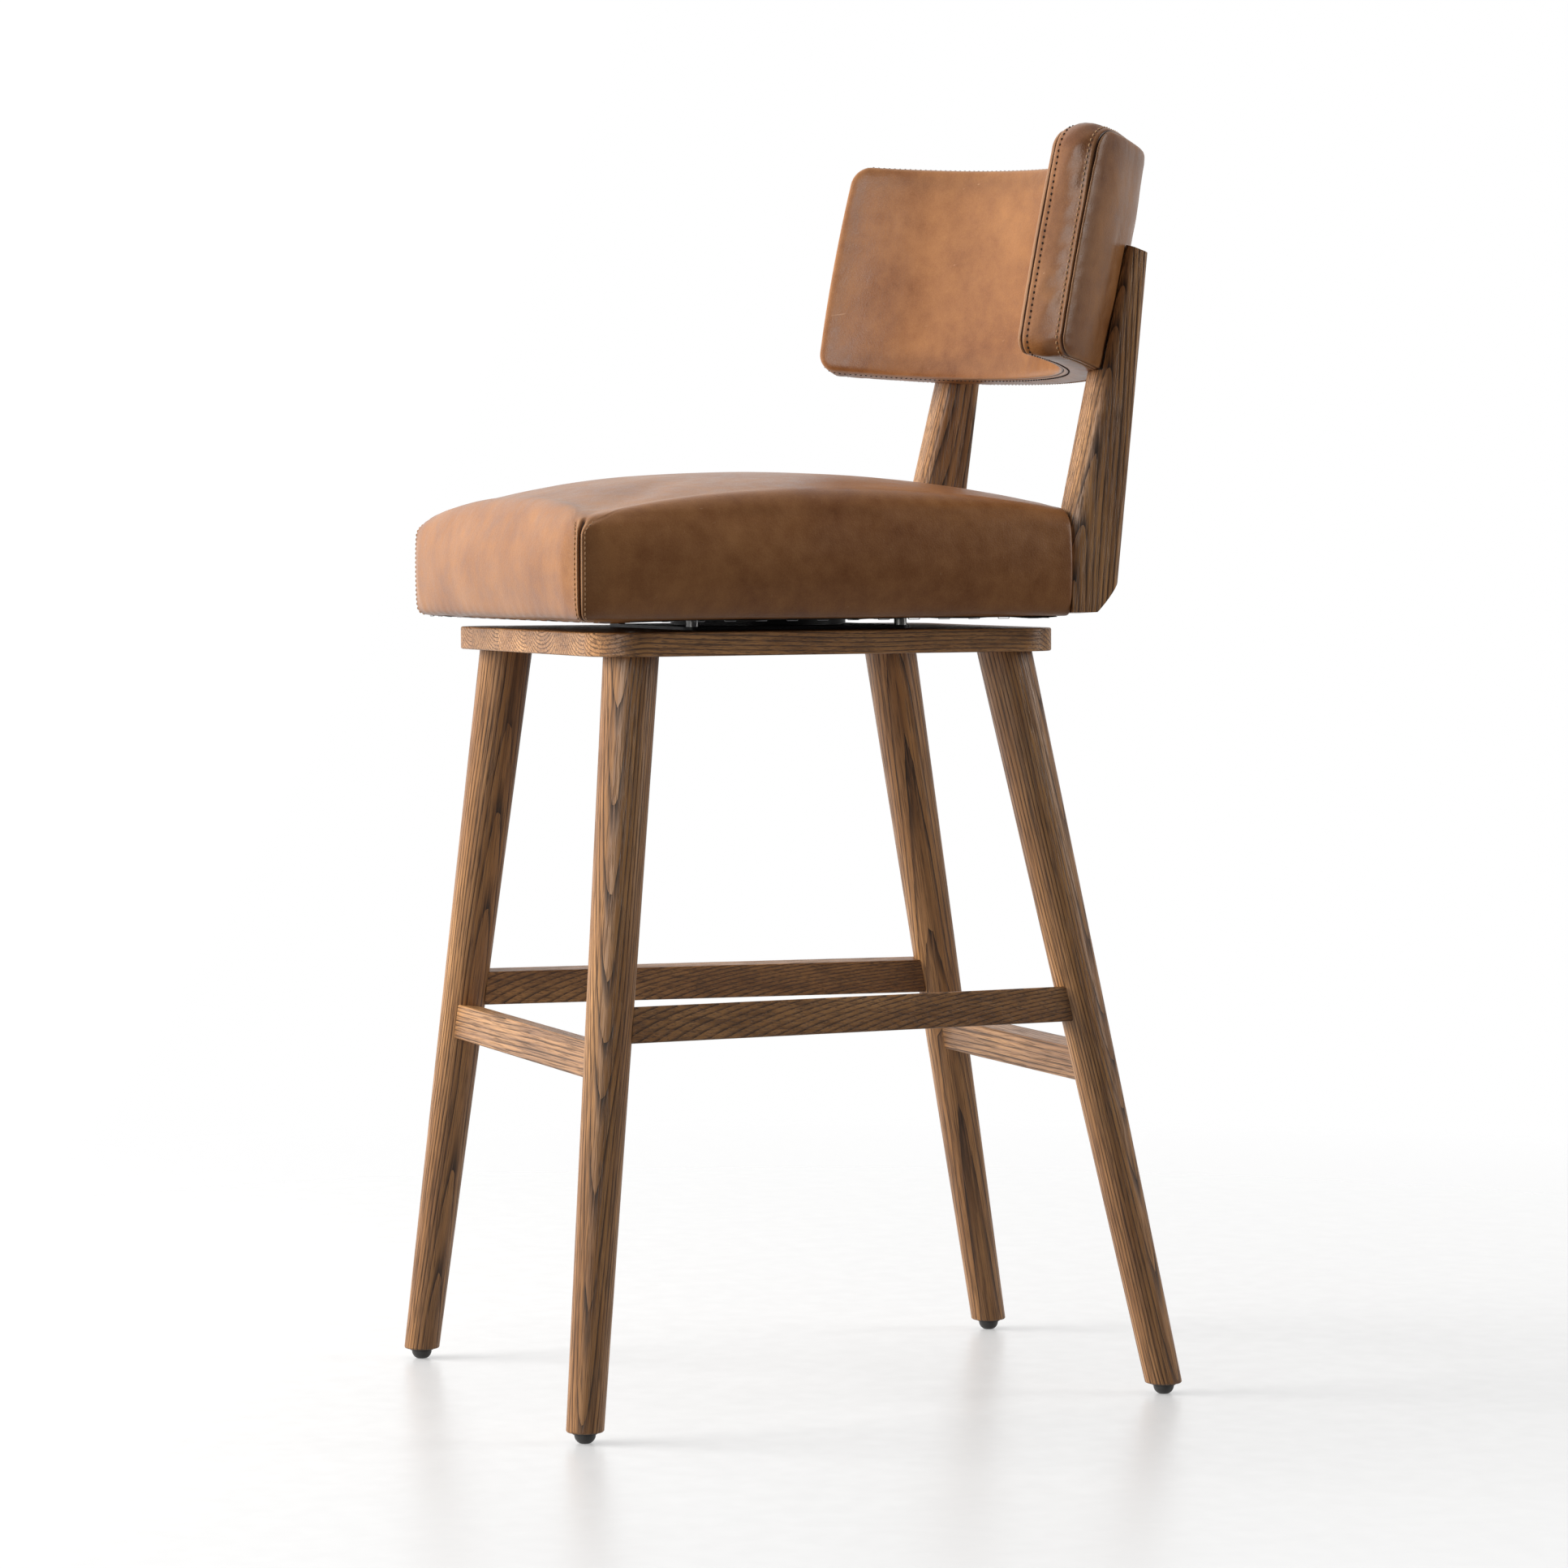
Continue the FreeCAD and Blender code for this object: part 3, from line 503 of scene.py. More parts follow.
class Give:
    """How far leather under tension moves off its pattern, from one cloth simulation."""

    def __init__(self, rings, voxel, held, cap):
        self.tree = None
        data = bpy.data.meshes.new("pattern")
        faces = ring_faces(len(rings), rings.shape[1])
        data.from_pydata((rings.reshape(-1, 3) * MM).tolist(), [], faces)
        obj = new_object("pattern", data)
        weld(obj, 0.05)
        bpy.context.view_layer.objects.active = obj
        remesh = obj.modifiers.new("even", "REMESH")
        remesh.mode, remesh.voxel_size = "VOXEL", voxel * MM
        bpy.ops.object.modifier_apply(modifier=remesh.name)
        rest = np.array([v.co for v in obj.data.vertices]) / MM
        group = obj.vertex_groups.new(name="held")
        for index, weight in enumerate(held(rest)):
            group.add([index], float(weight), "REPLACE")
        cloth = obj.modifiers.new("give", "CLOTH")
        for key, value in GIVE_CLOTH.items():
            setattr(cloth.settings, key, value)
        cloth.settings.effector_weights.gravity = 0.0
        cloth.point_cache.frame_start, cloth.point_cache.frame_end = 1, GIVE_FRAMES
        scene = bpy.context.scene
        for number in range(1, GIVE_FRAMES + 1):
            scene.frame_set(number)
        moved = obj.evaluated_get(bpy.context.evaluated_depsgraph_get()).to_mesh()
        shift = np.array([v.co for v in moved.vertices]) / MM - rest
        scene.frame_set(1)
        bpy.data.objects.remove(obj)
        length = norm(shift, axis=1)
        shift *= np.minimum(1.0, cap / np.maximum(length, 1e-6))[:, None]
        self.tree = kdtree.KDTree(len(rest))
        for index, point in enumerate(rest):
            self.tree.insert(point, index)
        self.tree.balance()
        around = ([k for _, k, _ in self.tree.find_range(point, GIVE_CALM)] for point in rest)
        self.shift = np.array([shift[near].mean(axis=0) for near in around])

    def at(self, points):
        out = np.zeros_like(points)
        if self.tree is None:
            return out
        for row, point in enumerate(points):
            near = self.tree.find_n(point, GIVE_NEAR)
            weights = np.array([1.0 / (distance + GIVE_SOFT) ** 2 for _, _, distance in near])
            out[row] = weights @ self.shift[[index for _, index, _ in near]] / weights.sum()
        return out


# ---- stitches
STITCH_SIDES, STITCH_BROAD = 6, 1.15
STITCH_PROFILE = [  # place as a share of the length, rise and thickness as shares of the radius
    (-0.5, -0.75, 0.25), (-0.42, -0.1, 0.8), (-0.2, 0.75, 1.0),
    (0.2, 0.75, 1.0), (0.42, -0.1, 0.8), (0.5, -0.75, 0.25),
]
THREAD_SIDES, THREAD_TIP = 8, 0.35


def stitches(name, path, outward, mat, length, gap, radius, lift, closed=True):
    """A row of stitches along path (points, mm).

    Each is a small bowed capsule that dips into the leather at its ends.
    """
    if closed:
        path, outward = np.vstack([path, path[:1]]), np.vstack([outward, outward[:1]])
    way = lengths(path)
    end = way[-1]
    count = max(int(end / (length + gap)), 1)
    points, faces = [], []
    for number in range(count):
        middle = (number + 0.5) * (end / count)
        before, after = max(middle - 0.5, 0), min(middle + 0.5, end)
        along = on_path(after, way, path) - on_path(before, way, path)
        along /= norm(along)
        up = on_path(middle, way, outward)
        up -= along * (up @ along)
        up /= norm(up)
        side = np.cross(up, along)
        faces += rod_faces(len(points), len(STITCH_PROFILE), STITCH_SIDES)
        for share, rise, fat in STITCH_PROFILE:
            centre = on_path(np.clip(middle + share * length, 0, end), way, path)
            centre = centre + up * (rise * radius + lift)
            for k in range(STITCH_SIDES):
                angle = k * tau / STITCH_SIDES
                spoke = side * cos(angle) * STITCH_BROAD + up * sin(angle)
                points.append(centre + spoke * radius * fat)
    mesh_piece(name, points, faces, mat)


def seam_shade_cord(name, path, radius, ups, closed=True):
    """A dark cord of round section along path, mm, that paints the shade in a seam's groove."""
    count = len(path)
    ahead = np.roll(path, -1, axis=0) - np.roll(path, 1, axis=0)
    if not closed:
        ahead[0], ahead[-1] = path[1] - path[0], path[-1] - path[-2]
    ahead = unit(ahead)
    side = unit(np.cross(ahead, ups))
    up = np.cross(side, ahead)
    radii = np.full((count, 1), radius)
    if not closed:
        radii[0] = radii[-1] = radius * THREAD_TIP
    angles = [k * tau / THREAD_SIDES for k in range(THREAD_SIDES)]
    rings = [path + side * (cos(a) * radii) + up * (sin(a) * radii) for a in angles]
    points = np.stack(rings, axis=1).reshape(-1, 3)
    faces = ring_faces(count, THREAD_SIDES, True) if closed else rod_faces(0, count, THREAD_SIDES)
    mesh_piece(name, points, faces, DARK_THREAD_AND_SEAM_SHADE)


# ---- seat
FILLET_STEPS = 24  # steps round each corner
SIDE_STEPS = (96, 92, 70, 92)  # steps along the front, right, rear and left
SEAMS = (FILLET_STEPS // 2, FILLET_STEPS + SIDE_STEPS[0] + FILLET_STEPS // 2)  # points with a seam
SIDE_SEAMS = ((1, 1), (1, 0), (0, 0), (0, 1))  # which ends of each side have a seam
SEAM_BUNCH = 0.09  # how far points crowd toward a seam
WRAP_END = radians(80)  # how far the top edge turns before the crown takes over
PILLOW_BEND = 1.3

REAR_TURN, REAR_IN = 2.4, 2.6  # the rear panel's edge: depth, and how far it is drawn in
REAR_EDGE = ((0.9, 0.3), (1.8, 1.0))  # the same on the way there
REAR_MIDDLE_Z, REAR_PUFF = 702.0, 2.6
REAR_PUFF_HALF, REAR_PUFF_FADE = 138, 40
REAR_PUFF_Z, REAR_PUFF_H = 650, 85

GIVE_WALL, GIVE_TOP = 0.75, 0.30  # shares of the simulated movement
GROOVE, GROOVE_LIP = 3.4, 0.35  # a corner seam's depth, and the swell beside it
TUCK, PLEAT = 1.2, 0.30  # at the foot of the wall
EAR, EAR_CREASE = 1.3, 0.8  # above a corner seam
UNEVEN, UNEVEN_FINE = 0.5, 0.18
WALL_H = 82.0


def seat_ring(inset=0.0, front_r=SEAT_EDGE_R):
    """Points round the seat, carried on past its rear face and drawn in by inset.

    front_r is the radius of the front corners.
    """
    taper = (SEAT_FRONT_HALF - SEAT_REAR_HALF) / (SEAT_REAR_Y - SEAT_FRONT_Y)
    front_half = SEAT_FRONT_HALF - inset * (1 + taper)
    past_half = SEAT_REAR_HALF - taper * SEAT_CORNER_R - inset
    front_y, past_y = SEAT_FRONT_Y + inset, SEAT_REAR_Y + SEAT_CORNER_R - inset
    corners = np.array([(-front_half, front_y), (front_half, front_y),
                        (past_half, past_y), (-past_half, past_y)])
    fillets = []
    for k, r in enumerate((front_r, front_r, SEAT_CORNER_R, SEAT_CORNER_R)):
        into, out = corners[k] - corners[k - 1], corners[(k + 1) % 4] - corners[k]
        into, out = into / norm(into), out / norm(out)
        turn = acos(float(np.clip(into @ out, -1, 1)))
        reach = r * tan(turn / 2)
        start = corners[k] - into * reach
        centre = start + np.array([-into[1], into[0]]) * r
        fillets.append((start, corners[k] + out * reach, centre, turn, r))
    points = []
    for k, (start, end, centre, turn, r) in enumerate(fillets):
        half = FILLET_STEPS // 2
        for step in range(-half, half + 1):
            angle = atan2(*(start - centre)[::-1]) + turn * (0.5 + step / half / 2)
            points.append(centre + np.array([cos(angle), sin(angle)]) * r)
        run = fillets[(k + 1) % 4][0] - end
        share = np.arange(1, SIDE_STEPS[k]) / SIDE_STEPS[k]
        near, far = (SEAM_BUNCH * seam for seam in SIDE_SEAMS[k])
        bunch = near * (share ** 2 - share) * (1 - share) * 4
        bunch = share + (bunch + far * (share - share ** 2) * share * 4)
        points.extend(end + run * part for part in bunch)
    return np.array(points)


def seat_outline():
    """The seat's widest ring, its outward directions, and each point's signed way to a seam."""
    points = seat_ring()
    normals = unit(points - seat_ring(2.0, SEAT_EDGE_R - 2.0))
    steps = norm(np.roll(points, -1, axis=0) - points, axis=1)
    way = np.concatenate([[0], np.cumsum(steps)[:-1]])
    total = steps.sum()
    from_seam = [(way - way[k] + total / 2) % total - total / 2 for k in SEAMS]
    nearer = np.abs(from_seam[0]) < np.abs(from_seam[1])
    return points, normals, np.where(nearer, *from_seam)


def seat_crown(plan):
    x, y = plan[:, 0], plan[:, 1]
    drop = np.sqrt(SEAT_CROWN_R ** 2 - x ** 2 - (y - SEAT_CROWN_Y) ** 2)
    return SEAT_CROWN_Z - SEAT_CROWN_R + drop


def seat_rings(shrink=0.0):
    """The seat's skin: from the middle of its underside, up its wall and over, to the crown."""
    middle = np.array([0.0, SEAT_CROWN_Y])
    rings, kinds = [], []

    def level(plan, z, kind):
        rings.append(np.column_stack([plan, np.broadcast_to(z, len(plan))]))
        kinds.append(kind)

    tucked = seat_ring(SEAT_FOOT + shrink)
    for share in (0.0, 0.5, 0.85, 0.97):
        level(middle + (tucked - middle) * share, SEAT_BOTTOM_Z + 0.2, "under")
    for angle in np.radians([0, 22, 45, 67, 90]):
        plan = seat_ring(SEAT_FOOT * (1 - sin(angle)) + shrink)
        level(plan, SEAT_BOTTOM_Z + SEAT_FOOT * (1 - cos(angle)), "wall")
    end_plan = seat_ring(SEAT_ROUND * (1 - cos(WRAP_END)) + shrink, SEAT_PILLOW_R)
    arc_z = seat_crown(end_plan) - SEAT_ROUND * sin(WRAP_END)
    foot_z = SEAT_BOTTOM_Z + SEAT_FOOT
    for share in np.linspace(0, 1, 15)[1:-1]:
        level(seat_ring(shrink), foot_z + (arc_z - foot_z) * share, "wall")
    for share in np.linspace(0, 1, 14):
        inset = SEAT_ROUND * (1 - cos(WRAP_END * share))
        corner_r = SEAT_EDGE_R + (SEAT_PILLOW_R - SEAT_EDGE_R) * share ** PILLOW_BEND
        plan = seat_ring(inset + shrink, corner_r)
        level(plan, arc_z + SEAT_ROUND * sin(WRAP_END * share), "wall")
    for share in np.linspace(1, 0, 44)[1:]:
        plan = middle + (end_plan - middle) * share
        level(plan, seat_crown(plan), "top")
    return np.array(rings), kinds


def close_rear(obj):
    """Cuts the skin off at the seat's rear face and closes it with a panel on a small radius."""
    bm = bmesh.new()
    bm.from_mesh(obj.data)
    cut = (SEAT_REAR_Y - REAR_TURN) * MM
    bmesh.ops.bisect_plane(bm, geom=bm.verts[:] + bm.edges[:] + bm.faces[:],
                           plane_co=(0, cut, 0), plane_no=(0, 1, 0), clear_outer=True)
    first = next(e for e in bm.edges if e.is_boundary and min(v.co.y for v in e.verts) > cut - 1e-5)
    loop = [first.verts[0], first.verts[1]]
    used = {first}
    while True:
        following = [e for e in loop[-1].link_edges if e.is_boundary and e not in used]
        if not following:
            break
        used.add(following[0])
        loop.append(following[0].other_vert(loop[-1]))
        if loop[-1] is loop[0]:
            loop.pop()
            break
    plan = (np.array([v.co for v in loop]) / MM)[:, [0, 2]]
    ahead = sum(np.roll(plan, -k, axis=0) - np.roll(plan, k, axis=0) for k in (1, 2, 3, 4, 5))
    inward = unit(np.column_stack([-ahead[:, 1], ahead[:, 0]]))
    middle = np.array([0.0, REAR_MIDDLE_Z])
    inward *= np.sign(np.einsum("ij,ij->i", inward, middle - plan))[:, None]
    edge = plan + inward * REAR_IN
    rings = [(back, plan + inward * drawn) for back, drawn in REAR_EDGE] + [(REAR_TURN, edge)]
    shares = np.linspace(0.97, 0.03, 28)
    rings += [(REAR_TURN, middle + (edge - middle) * share) for share in shares]
    last = loop
    for back, places in rings:
        x, z = places[:, 0], places[:, 1]
        puff = ease((REAR_PUFF_HALF - np.abs(x)) / REAR_PUFF_FADE)
        puff = puff * np.sin(np.pi * np.clip((z - REAR_PUFF_Z) / REAR_PUFF_H, 0, 1))
        y = SEAT_REAR_Y - REAR_TURN + back + REAR_PUFF * puff
        made = [bm.verts.new(spot) for spot in np.column_stack([x, y, z]) * MM]
        for k in range(len(made)):
            m = (k + 1) % len(made)
            bm.faces.new((last[k], last[m], made[m], made[k]))
        last = made
    bm.faces.new(last)
    bmesh.ops.recalc_face_normals(bm, faces=bm.faces)
    for face in bm.faces:
        face.smooth = True
    bm.to_mesh(obj.data)
    bm.free()


def seat_held(points):
    """Where the seat's leather is fixed while the cloth simulation runs."""
    corner = np.hypot(np.abs(points[:, 0]) - SEAT_FRONT_HALF + 3, points[:, 1] - SEAT_FRONT_Y - 3)
    foot = points[:, 2] < SEAT_BOTTOM_Z + 4
    rear = points[:, 1] > SEAT_REAR_Y - 4
    return np.where(foot | rear | ((corner < 7) & (points[:, 2] < SEAM_TOP_Z)), 1.0, 0.0)


def seat_leather():
    outline, normals, seam = seat_outline()
    around = len(outline)
    rings, kinds = seat_rings()
    flat = rings.reshape(-1, 3)
    give = Give(seat_rings(1.5)[0][:, ::2], 6.0, seat_held, 6.0)
    out3 = np.tile(np.column_stack([normals, np.zeros(around)]), (len(rings), 1))
    away = np.tile(seam, len(rings))
    over = np.abs(away)
    z = flat[:, 2]
    height, above_seam = z - SEAT_BOTTOM_Z, z - SEAM_TOP_Z
    side_height = np.clip(height / WALL_H, 0, 1)
    gaps = rings[:, :, 1].min(axis=1) - outline[:, 1].min()  # at the middle of the front
    inset = np.repeat(np.minimum(gaps, SEAT_ROUND), around)
    wall = ease(1 - inset / SEAT_ROUND)
    top = 1 - wall
    moved = flat + give.at(flat) * (GIVE_WALL * wall + GIVE_TOP * top)[:, None]
    sewn = wall * ease((5 - above_seam) / 8)
    groove = -GROOVE * bell(away, 0.9) + GROOVE_LIP * bell(over - 1.9, 0.8)
    belly = np.sin(np.pi * side_height) ** 0.8 * wall * (0.12 + 0.88 * ease(over / 26)) * SEAT_BELLY
    tuck = -TUCK * bell(side_height, 0.10) * wall
    pleats = PLEAT * np.sin(away / 3.1 + 4 * ripple(flat, 0.01)) * bell(height, 7.0) * wall
    moved += out3 * (groove * sewn)[:, None]
    moved += out3 * (belly + tuck + pleats)[:, None]
    ear = EAR * bell(over - 0.25 * above_seam, 2.6)
    ear = ear * ease((above_seam + 4) / 6) * ease((15 - above_seam) / 13)
    crease = -EAR_CREASE * bell(over - 5 - 0.5 * above_seam, 2.0)
    crease = crease * ease((above_seam + 6) / 8) * ease((12 - above_seam) / 10)
    up_out = out3 * (0.7 * wall)[:, None] + np.array([0, 0, 0.7])
    moved += up_out * ((ear + crease) * (over < 40))[:, None]
    uneven = ripple(flat, 0.012) * UNEVEN + ripple(flat, 0.03, 9.0) * UNEVEN_FINE
    shown = np.array(kinds).repeat(around) != "under"
    moved += up_out * (uneven * shown)[:, None]
    moved[:, 2] -= FRONT_SLUMP * ease((-150 - flat[:, 1]) / 110) * top + TOP_SETTLE * top
    faces = ring_faces(len(rings), around)
    obj = mesh_piece("seat_leather", moved, faces, LEATHER)
    # pale seam lips, dry edges with a painted highlight, and a dark seam groove, painted shade;
    # then darker across about 13 mm either side of each corner seam and at the foot of the wall
    wear_and_painted_light = 0.85 * bell(over - 2.0, 0.8) * sewn - 1.0 * bell(away, 1.0) * sewn
    wear_and_painted_light -= 0.22 * bell(over, 13.0) * wall * (1 - bell(away, 3.0)) + 0.30 * bell(height, 5.0) * wall
    set_wear_and_painted_light(obj, wear_and_painted_light)
    weld(obj)
    close_rear(obj)
    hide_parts("seat_cover", "seat_foam")
    table, insets = moved.reshape(len(rings), around, 3), inset.reshape(len(rings), around)
    for number, k in enumerate(SEAMS):
        rows = [j for j, kind in enumerate(kinds)
                if kind == "wall" and table[j, k, 2] < SEAM_TOP_Z - 2 and insets[j, k] < 12]
        seam_normals, left, right = (
            np.tile([*normals[(k + step) % around], 0.0], (len(rows), 1)) for step in (0, -9, 9))
        # a dark cord at the bottom of the corner seam's groove: painted shade
        line = table[rows, k] + seam_normals * 0.5
        seam_shade_cord(f"seat_corner_shade_cord_{number}", line, 0.55, seam_normals, closed=False)
        for tag, step, outward in (("a", -9, left), ("b", 9, right)):
            stitches(f"seat_corner_stitch_{number}{tag}", table[rows, (k + step) % around], outward,
                     THREAD_TAN, length=2.6, gap=1.2, radius=0.34, lift=0.12, closed=False)


# ---- dust cover
CLOTH_AROUND, CLOTH_RINGS, CLOTH_THICK = 420, 14, 0.5
CLOTH_DROP, CLOTH_SAG = 0.35, 0.7
STAPLE_PITCH, STAPLE_START, STAPLE_Z = 27, 6, 1.35
STAPLE_BEND = ((-5.0, 0.2), (-4.6, -0.55), (4.6, -0.55), (5.0, 0.2))
STAPLE_WIRE = ((-0.55, -0.25), (0.55, -0.25), (0.55, 0.25), (-0.55, 0.25))


def ray_reach(polygon, way, centre):
    """How far a ray from centre goes to a closed outline."""
    a = polygon - centre
    edge = np.roll(a, -1, axis=0) - a
    bottom = way[0] * edge[:, 1] - way[1] * edge[:, 0]
    with np.errstate(divide="ignore", invalid="ignore"):
        t = (a[:, 0] * edge[:, 1] - a[:, 1] * edge[:, 0]) / bottom
        u = (a[:, 0] * way[1] - a[:, 1] * way[0]) / bottom
    return float(t[(t > 0) & (u >= -1e-9) & (u <= 1 + 1e-9)].min())


def under_path(inset):
    """The seat's outline drawn in by inset, all of it in front of the rear face."""
    outline, normals, _ = seat_outline()
    path = outline - normals * inset
    path[:, 1] = np.minimum(path[:, 1], SEAT_REAR_Y - inset)
    return path


def dust_cover():
    outer = under_path(CLOTH_IN)
    centre = np.array([0.0, SWIVEL_Y])
    half = PLATE_HOLE_HALF
    hole = centre + np.array([(-half, -half), (half, -half), (half, half), (-half, half)])
    grid = []
    for share in (j / (CLOTH_RINGS - 1) for j in range(CLOTH_RINGS)):
        ring = []
        for angle in (i * tau / CLOTH_AROUND for i in range(CLOTH_AROUND)):
            way = np.array([cos(angle), sin(angle)])
            near, far = ray_reach(hole, way, centre), ray_reach(outer, way, centre)
            wave = noise.noise(Vector((cos(angle) * 9, sin(angle) * 9, 3.0)))
            reach = near + (far + 1.2 * wave - near) * share
            lump = noise.noise(Vector((cos(angle) * 5, sin(angle) * 5, share * 2.0)))
            sag = CLOTH_SAG * sin(pi * share) * (0.6 + lump)
            hem = (0.9 + 1.1 * wave) * ease((share - 0.9) / 0.1)
            drop = SEAT_BOTTOM_Z - CLOTH_DROP - max(sag, 0) - max(hem, 0)
            ring.append([*(centre + way * reach), drop])
        grid.append(ring)
    lower = np.array(grid)
    upper = lower + np.array([0, 0, CLOTH_THICK])
    points = np.concatenate([lower, upper[::-1]]).reshape(-1, 3)
    faces = ring_faces(2 * CLOTH_RINGS, CLOTH_AROUND, closed=True)
    obj = mesh_piece("seat_dust_cloth", points, faces, CLOTH)
    weld(obj, 0.001)
    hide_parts("seat_dust_cover")


def staples():
    path = under_path(STAPLES_IN)
    path = np.vstack([path, path[:1]])
    way = lengths(path)
    points, faces = [], []
    for number in range(int(way[-1] / STAPLE_PITCH)):
        s = number * STAPLE_PITCH + STAPLE_START
        middle = on_path(s, way, path)
        ahead = on_path(min(s + 2, way[-1]), way, path) - middle
        ahead = ahead / norm(ahead)
        side = np.array([-ahead[1], ahead[0]])
        faces += rod_faces(len(points), len(STAPLE_BEND), len(STAPLE_WIRE))
        for share, rise in STAPLE_BEND:
            for dx, dz in STAPLE_WIRE:
                spot = middle + ahead * share + side * dx
                points.append([*spot, SEAT_BOTTOM_Z - STAPLE_Z + rise + dz])
    mesh_piece("seat_dust_cloth_staples", points, faces, WIRE, smooth=False)


# ---- back pad
def pad_flare(angle):
    """How much the pad thickens at an angle round its curve, for each mm of its depth."""
    share = ease((np.abs(angle) * PAD_MID_R - 185) / 85)
    return PAD_FLARE / (REAR_SEAM_R - FRONT_SEAM_R) * share


def pad_world(w, r, h):
    """From the pad's own measures to the frame: arc length at its middle, radius and height."""
    angle = w / PAD_MID_R
    r = r + pad_flare(angle) * (r - FRONT_SEAM_R)
    v = r * np.cos(angle) + h * PAD_SHEAR
    y = PAD_ORIGIN[1] + v * cos(PAD_TIP) + h * sin(PAD_TIP)
    z = PAD_ORIGIN[2] - v * sin(PAD_TIP) + h * cos(PAD_TIP)
    return np.column_stack([r * np.sin(angle), y, z])


def pad_local(points):
    """From the frame to the pad's own measures."""
    y, z = points[:, 1] - PAD_ORIGIN[1], points[:, 2] - PAD_ORIGIN[2]
    v = y * cos(PAD_TIP) - z * sin(PAD_TIP)
    h = y * sin(PAD_TIP) + z * cos(PAD_TIP)
    v = v - h * PAD_SHEAR
    angle = np.arctan2(points[:, 0], v)
    flare = pad_flare(angle)
    r = (np.hypot(points[:, 0], v) + flare * FRONT_SEAM_R) / (1 + flare)
    return angle * PAD_MID_R, r, h


PAD_CORNERS = np.array([(1, -1), (1, 1), (-1, 1), (-1, -1)])
PAD_ROUND_TO = 12  # further in than this, the corners shrink with the rest of the ring


def pad_ring(inset, step=PAD_STEP):
    """The pad's outline, moved in by inset: a round-cornered rectangle that closes to a line."""
    half = np.array([PAD_HALF_W, PAD_HALF_H]) - inset
    if inset <= PAD_ROUND_TO:
        round_r = PAD_CORNER_R - inset
    else:
        left = PAD_CORNER_R - PAD_ROUND_TO
        round_r = left * (PAD_HALF_H - inset) / (PAD_HALF_H - PAD_ROUND_TO)
    long = int(2 * (PAD_HALF_W - PAD_CORNER_R) / step)
    short = int(2 * (PAD_HALF_H - PAD_CORNER_R) / step)
    bend = int(pi / 2 * PAD_CORNER_R / step)
    ring = []
    for quarter, count in enumerate((short, long, short, long)):
        start = quarter * pi / 2
        before, centre = ((half - round_r) * PAD_CORNERS[k % 4] for k in (quarter, quarter + 1))
        way = np.array([cos(start), sin(start)])
        for k in range(count):
            ring.append(before + (centre - before) * k / count + way * round_r)
        for k in range(bend):
            angle = start + pi / 2 * k / bend
            ring.append(centre + np.array([cos(angle), sin(angle)]) * round_r)
    w, h = np.array(ring).T
    bow = PAD_BOW * (1 - inset / PAD_HALF_H)
    bow = bow * ease((np.abs(w) - PAD_BOW_FROM) / (PAD_HALF_W - PAD_BOW_FROM))
    w = w + np.sign(w) * bow * (1 - (h / PAD_HALF_H) ** 2)
    h = h + PAD_END_LIFT * ease((np.abs(w) - 160) / 110) * np.clip(-h / PAD_HALF_H, 0, 1)
    return np.column_stack([w, h])


def pad_surface(profile, step=PAD_STEP):
    """World points of the pad's rings, each given as (inset, radius)."""
    plans = [(pad_ring(inset, step), radius) for inset, radius in profile]
    return np.array([pad_world(plan[:, 0], radius, plan[:, 1]) for plan, radius in plans])


def post_press(points):
    """1 where a post's flat face backs the pad, fading to 0 over the next 30 mm."""
    side = np.maximum(np.abs(np.abs(points[:, 0]) - POST_X) - POST_HALF_X - POST_CLEAR, 0)
    over = np.maximum(points[:, 2] - POST_TOP_Z, 0)
    return 1 - ease(np.hypot(side, over) / POST_FADE)


# Rings of the sewn edges, as (inset, radius).
FRONT_FACE = [
    (2.8, 272.4), (1.0, 271.9), (0.5, 271.0), (0.8, 269.9),
    (2.0, 268.7), (4.0, 267.9), (6.5, 267.4), (9.5, 267.2),
]
REAR_FACE = [
    (2.8, 304.8), (1.1, 305.2), (0.5, 305.8), (0.9, 306.3),
    (2.0, 306.7), (3.9, 307.0), (6.7, 307.3), (10.0, 307.5),
]
FRONT_LINE_R, REAR_LINE_R = FRONT_SEAM_R + TOPSTITCH, REAR_SEAM_R - TOPSTITCH
BAND_FACE = [
    (2.8, 272.0), (1.1, 272.5), (0.2, 273.2), (-0.1, 274.6), (0.35, FRONT_LINE_R),
    (-0.3, 278.6), (-0.9, 281.5), (-1.4, 285.0), (-1.6, 288.5), (-1.4, 292.0), (-0.9, 295.5),
    (-0.3, 298.6), (0.35, REAR_LINE_R), (-0.1, 302.6), (0.2, 303.8), (1.1, 304.5), (2.8, 305.0),
]
BAND_BACK = [(4.4, 303.6), (3.4, 296.0), (3.4, 281.0), (4.4, 273.6)]
PANEL_INSETS = [14, 19, 25, 31, 38, 45, 52, 59, 66, 73, 80, 86, PAD_HALF_H]
PANEL_BACK_INSETS = [PAD_HALF_H, 60, 25, 8, 4.0]
PANEL_LIPS = [-1.0, -0.8, 0.55, 0.40, 0.15]  # values for the rings next to the seam: painted shade in the groove, then pale lips, dry edges with a painted highlight
# the same for the band: painted shade in the groove, then pale lips, dry edges with a painted
# highlight
BAND_LIPS = [-1.0, -0.8, 0.5, 0.3]
PAD_GIVE = 0.45  # share of the simulated movement
PATTERN_FRONT_R, PATTERN_REAR_R = 269.0, 308.5
PATTERN_INSETS = (4, 10, 25, 45, 70, PAD_HALF_H)
PATTERN_EDGE = [(1.5, 270.5), (1.0, 276), (1.0, 283), (1.0, 290), (1.0, 297), (1.5, 306)]


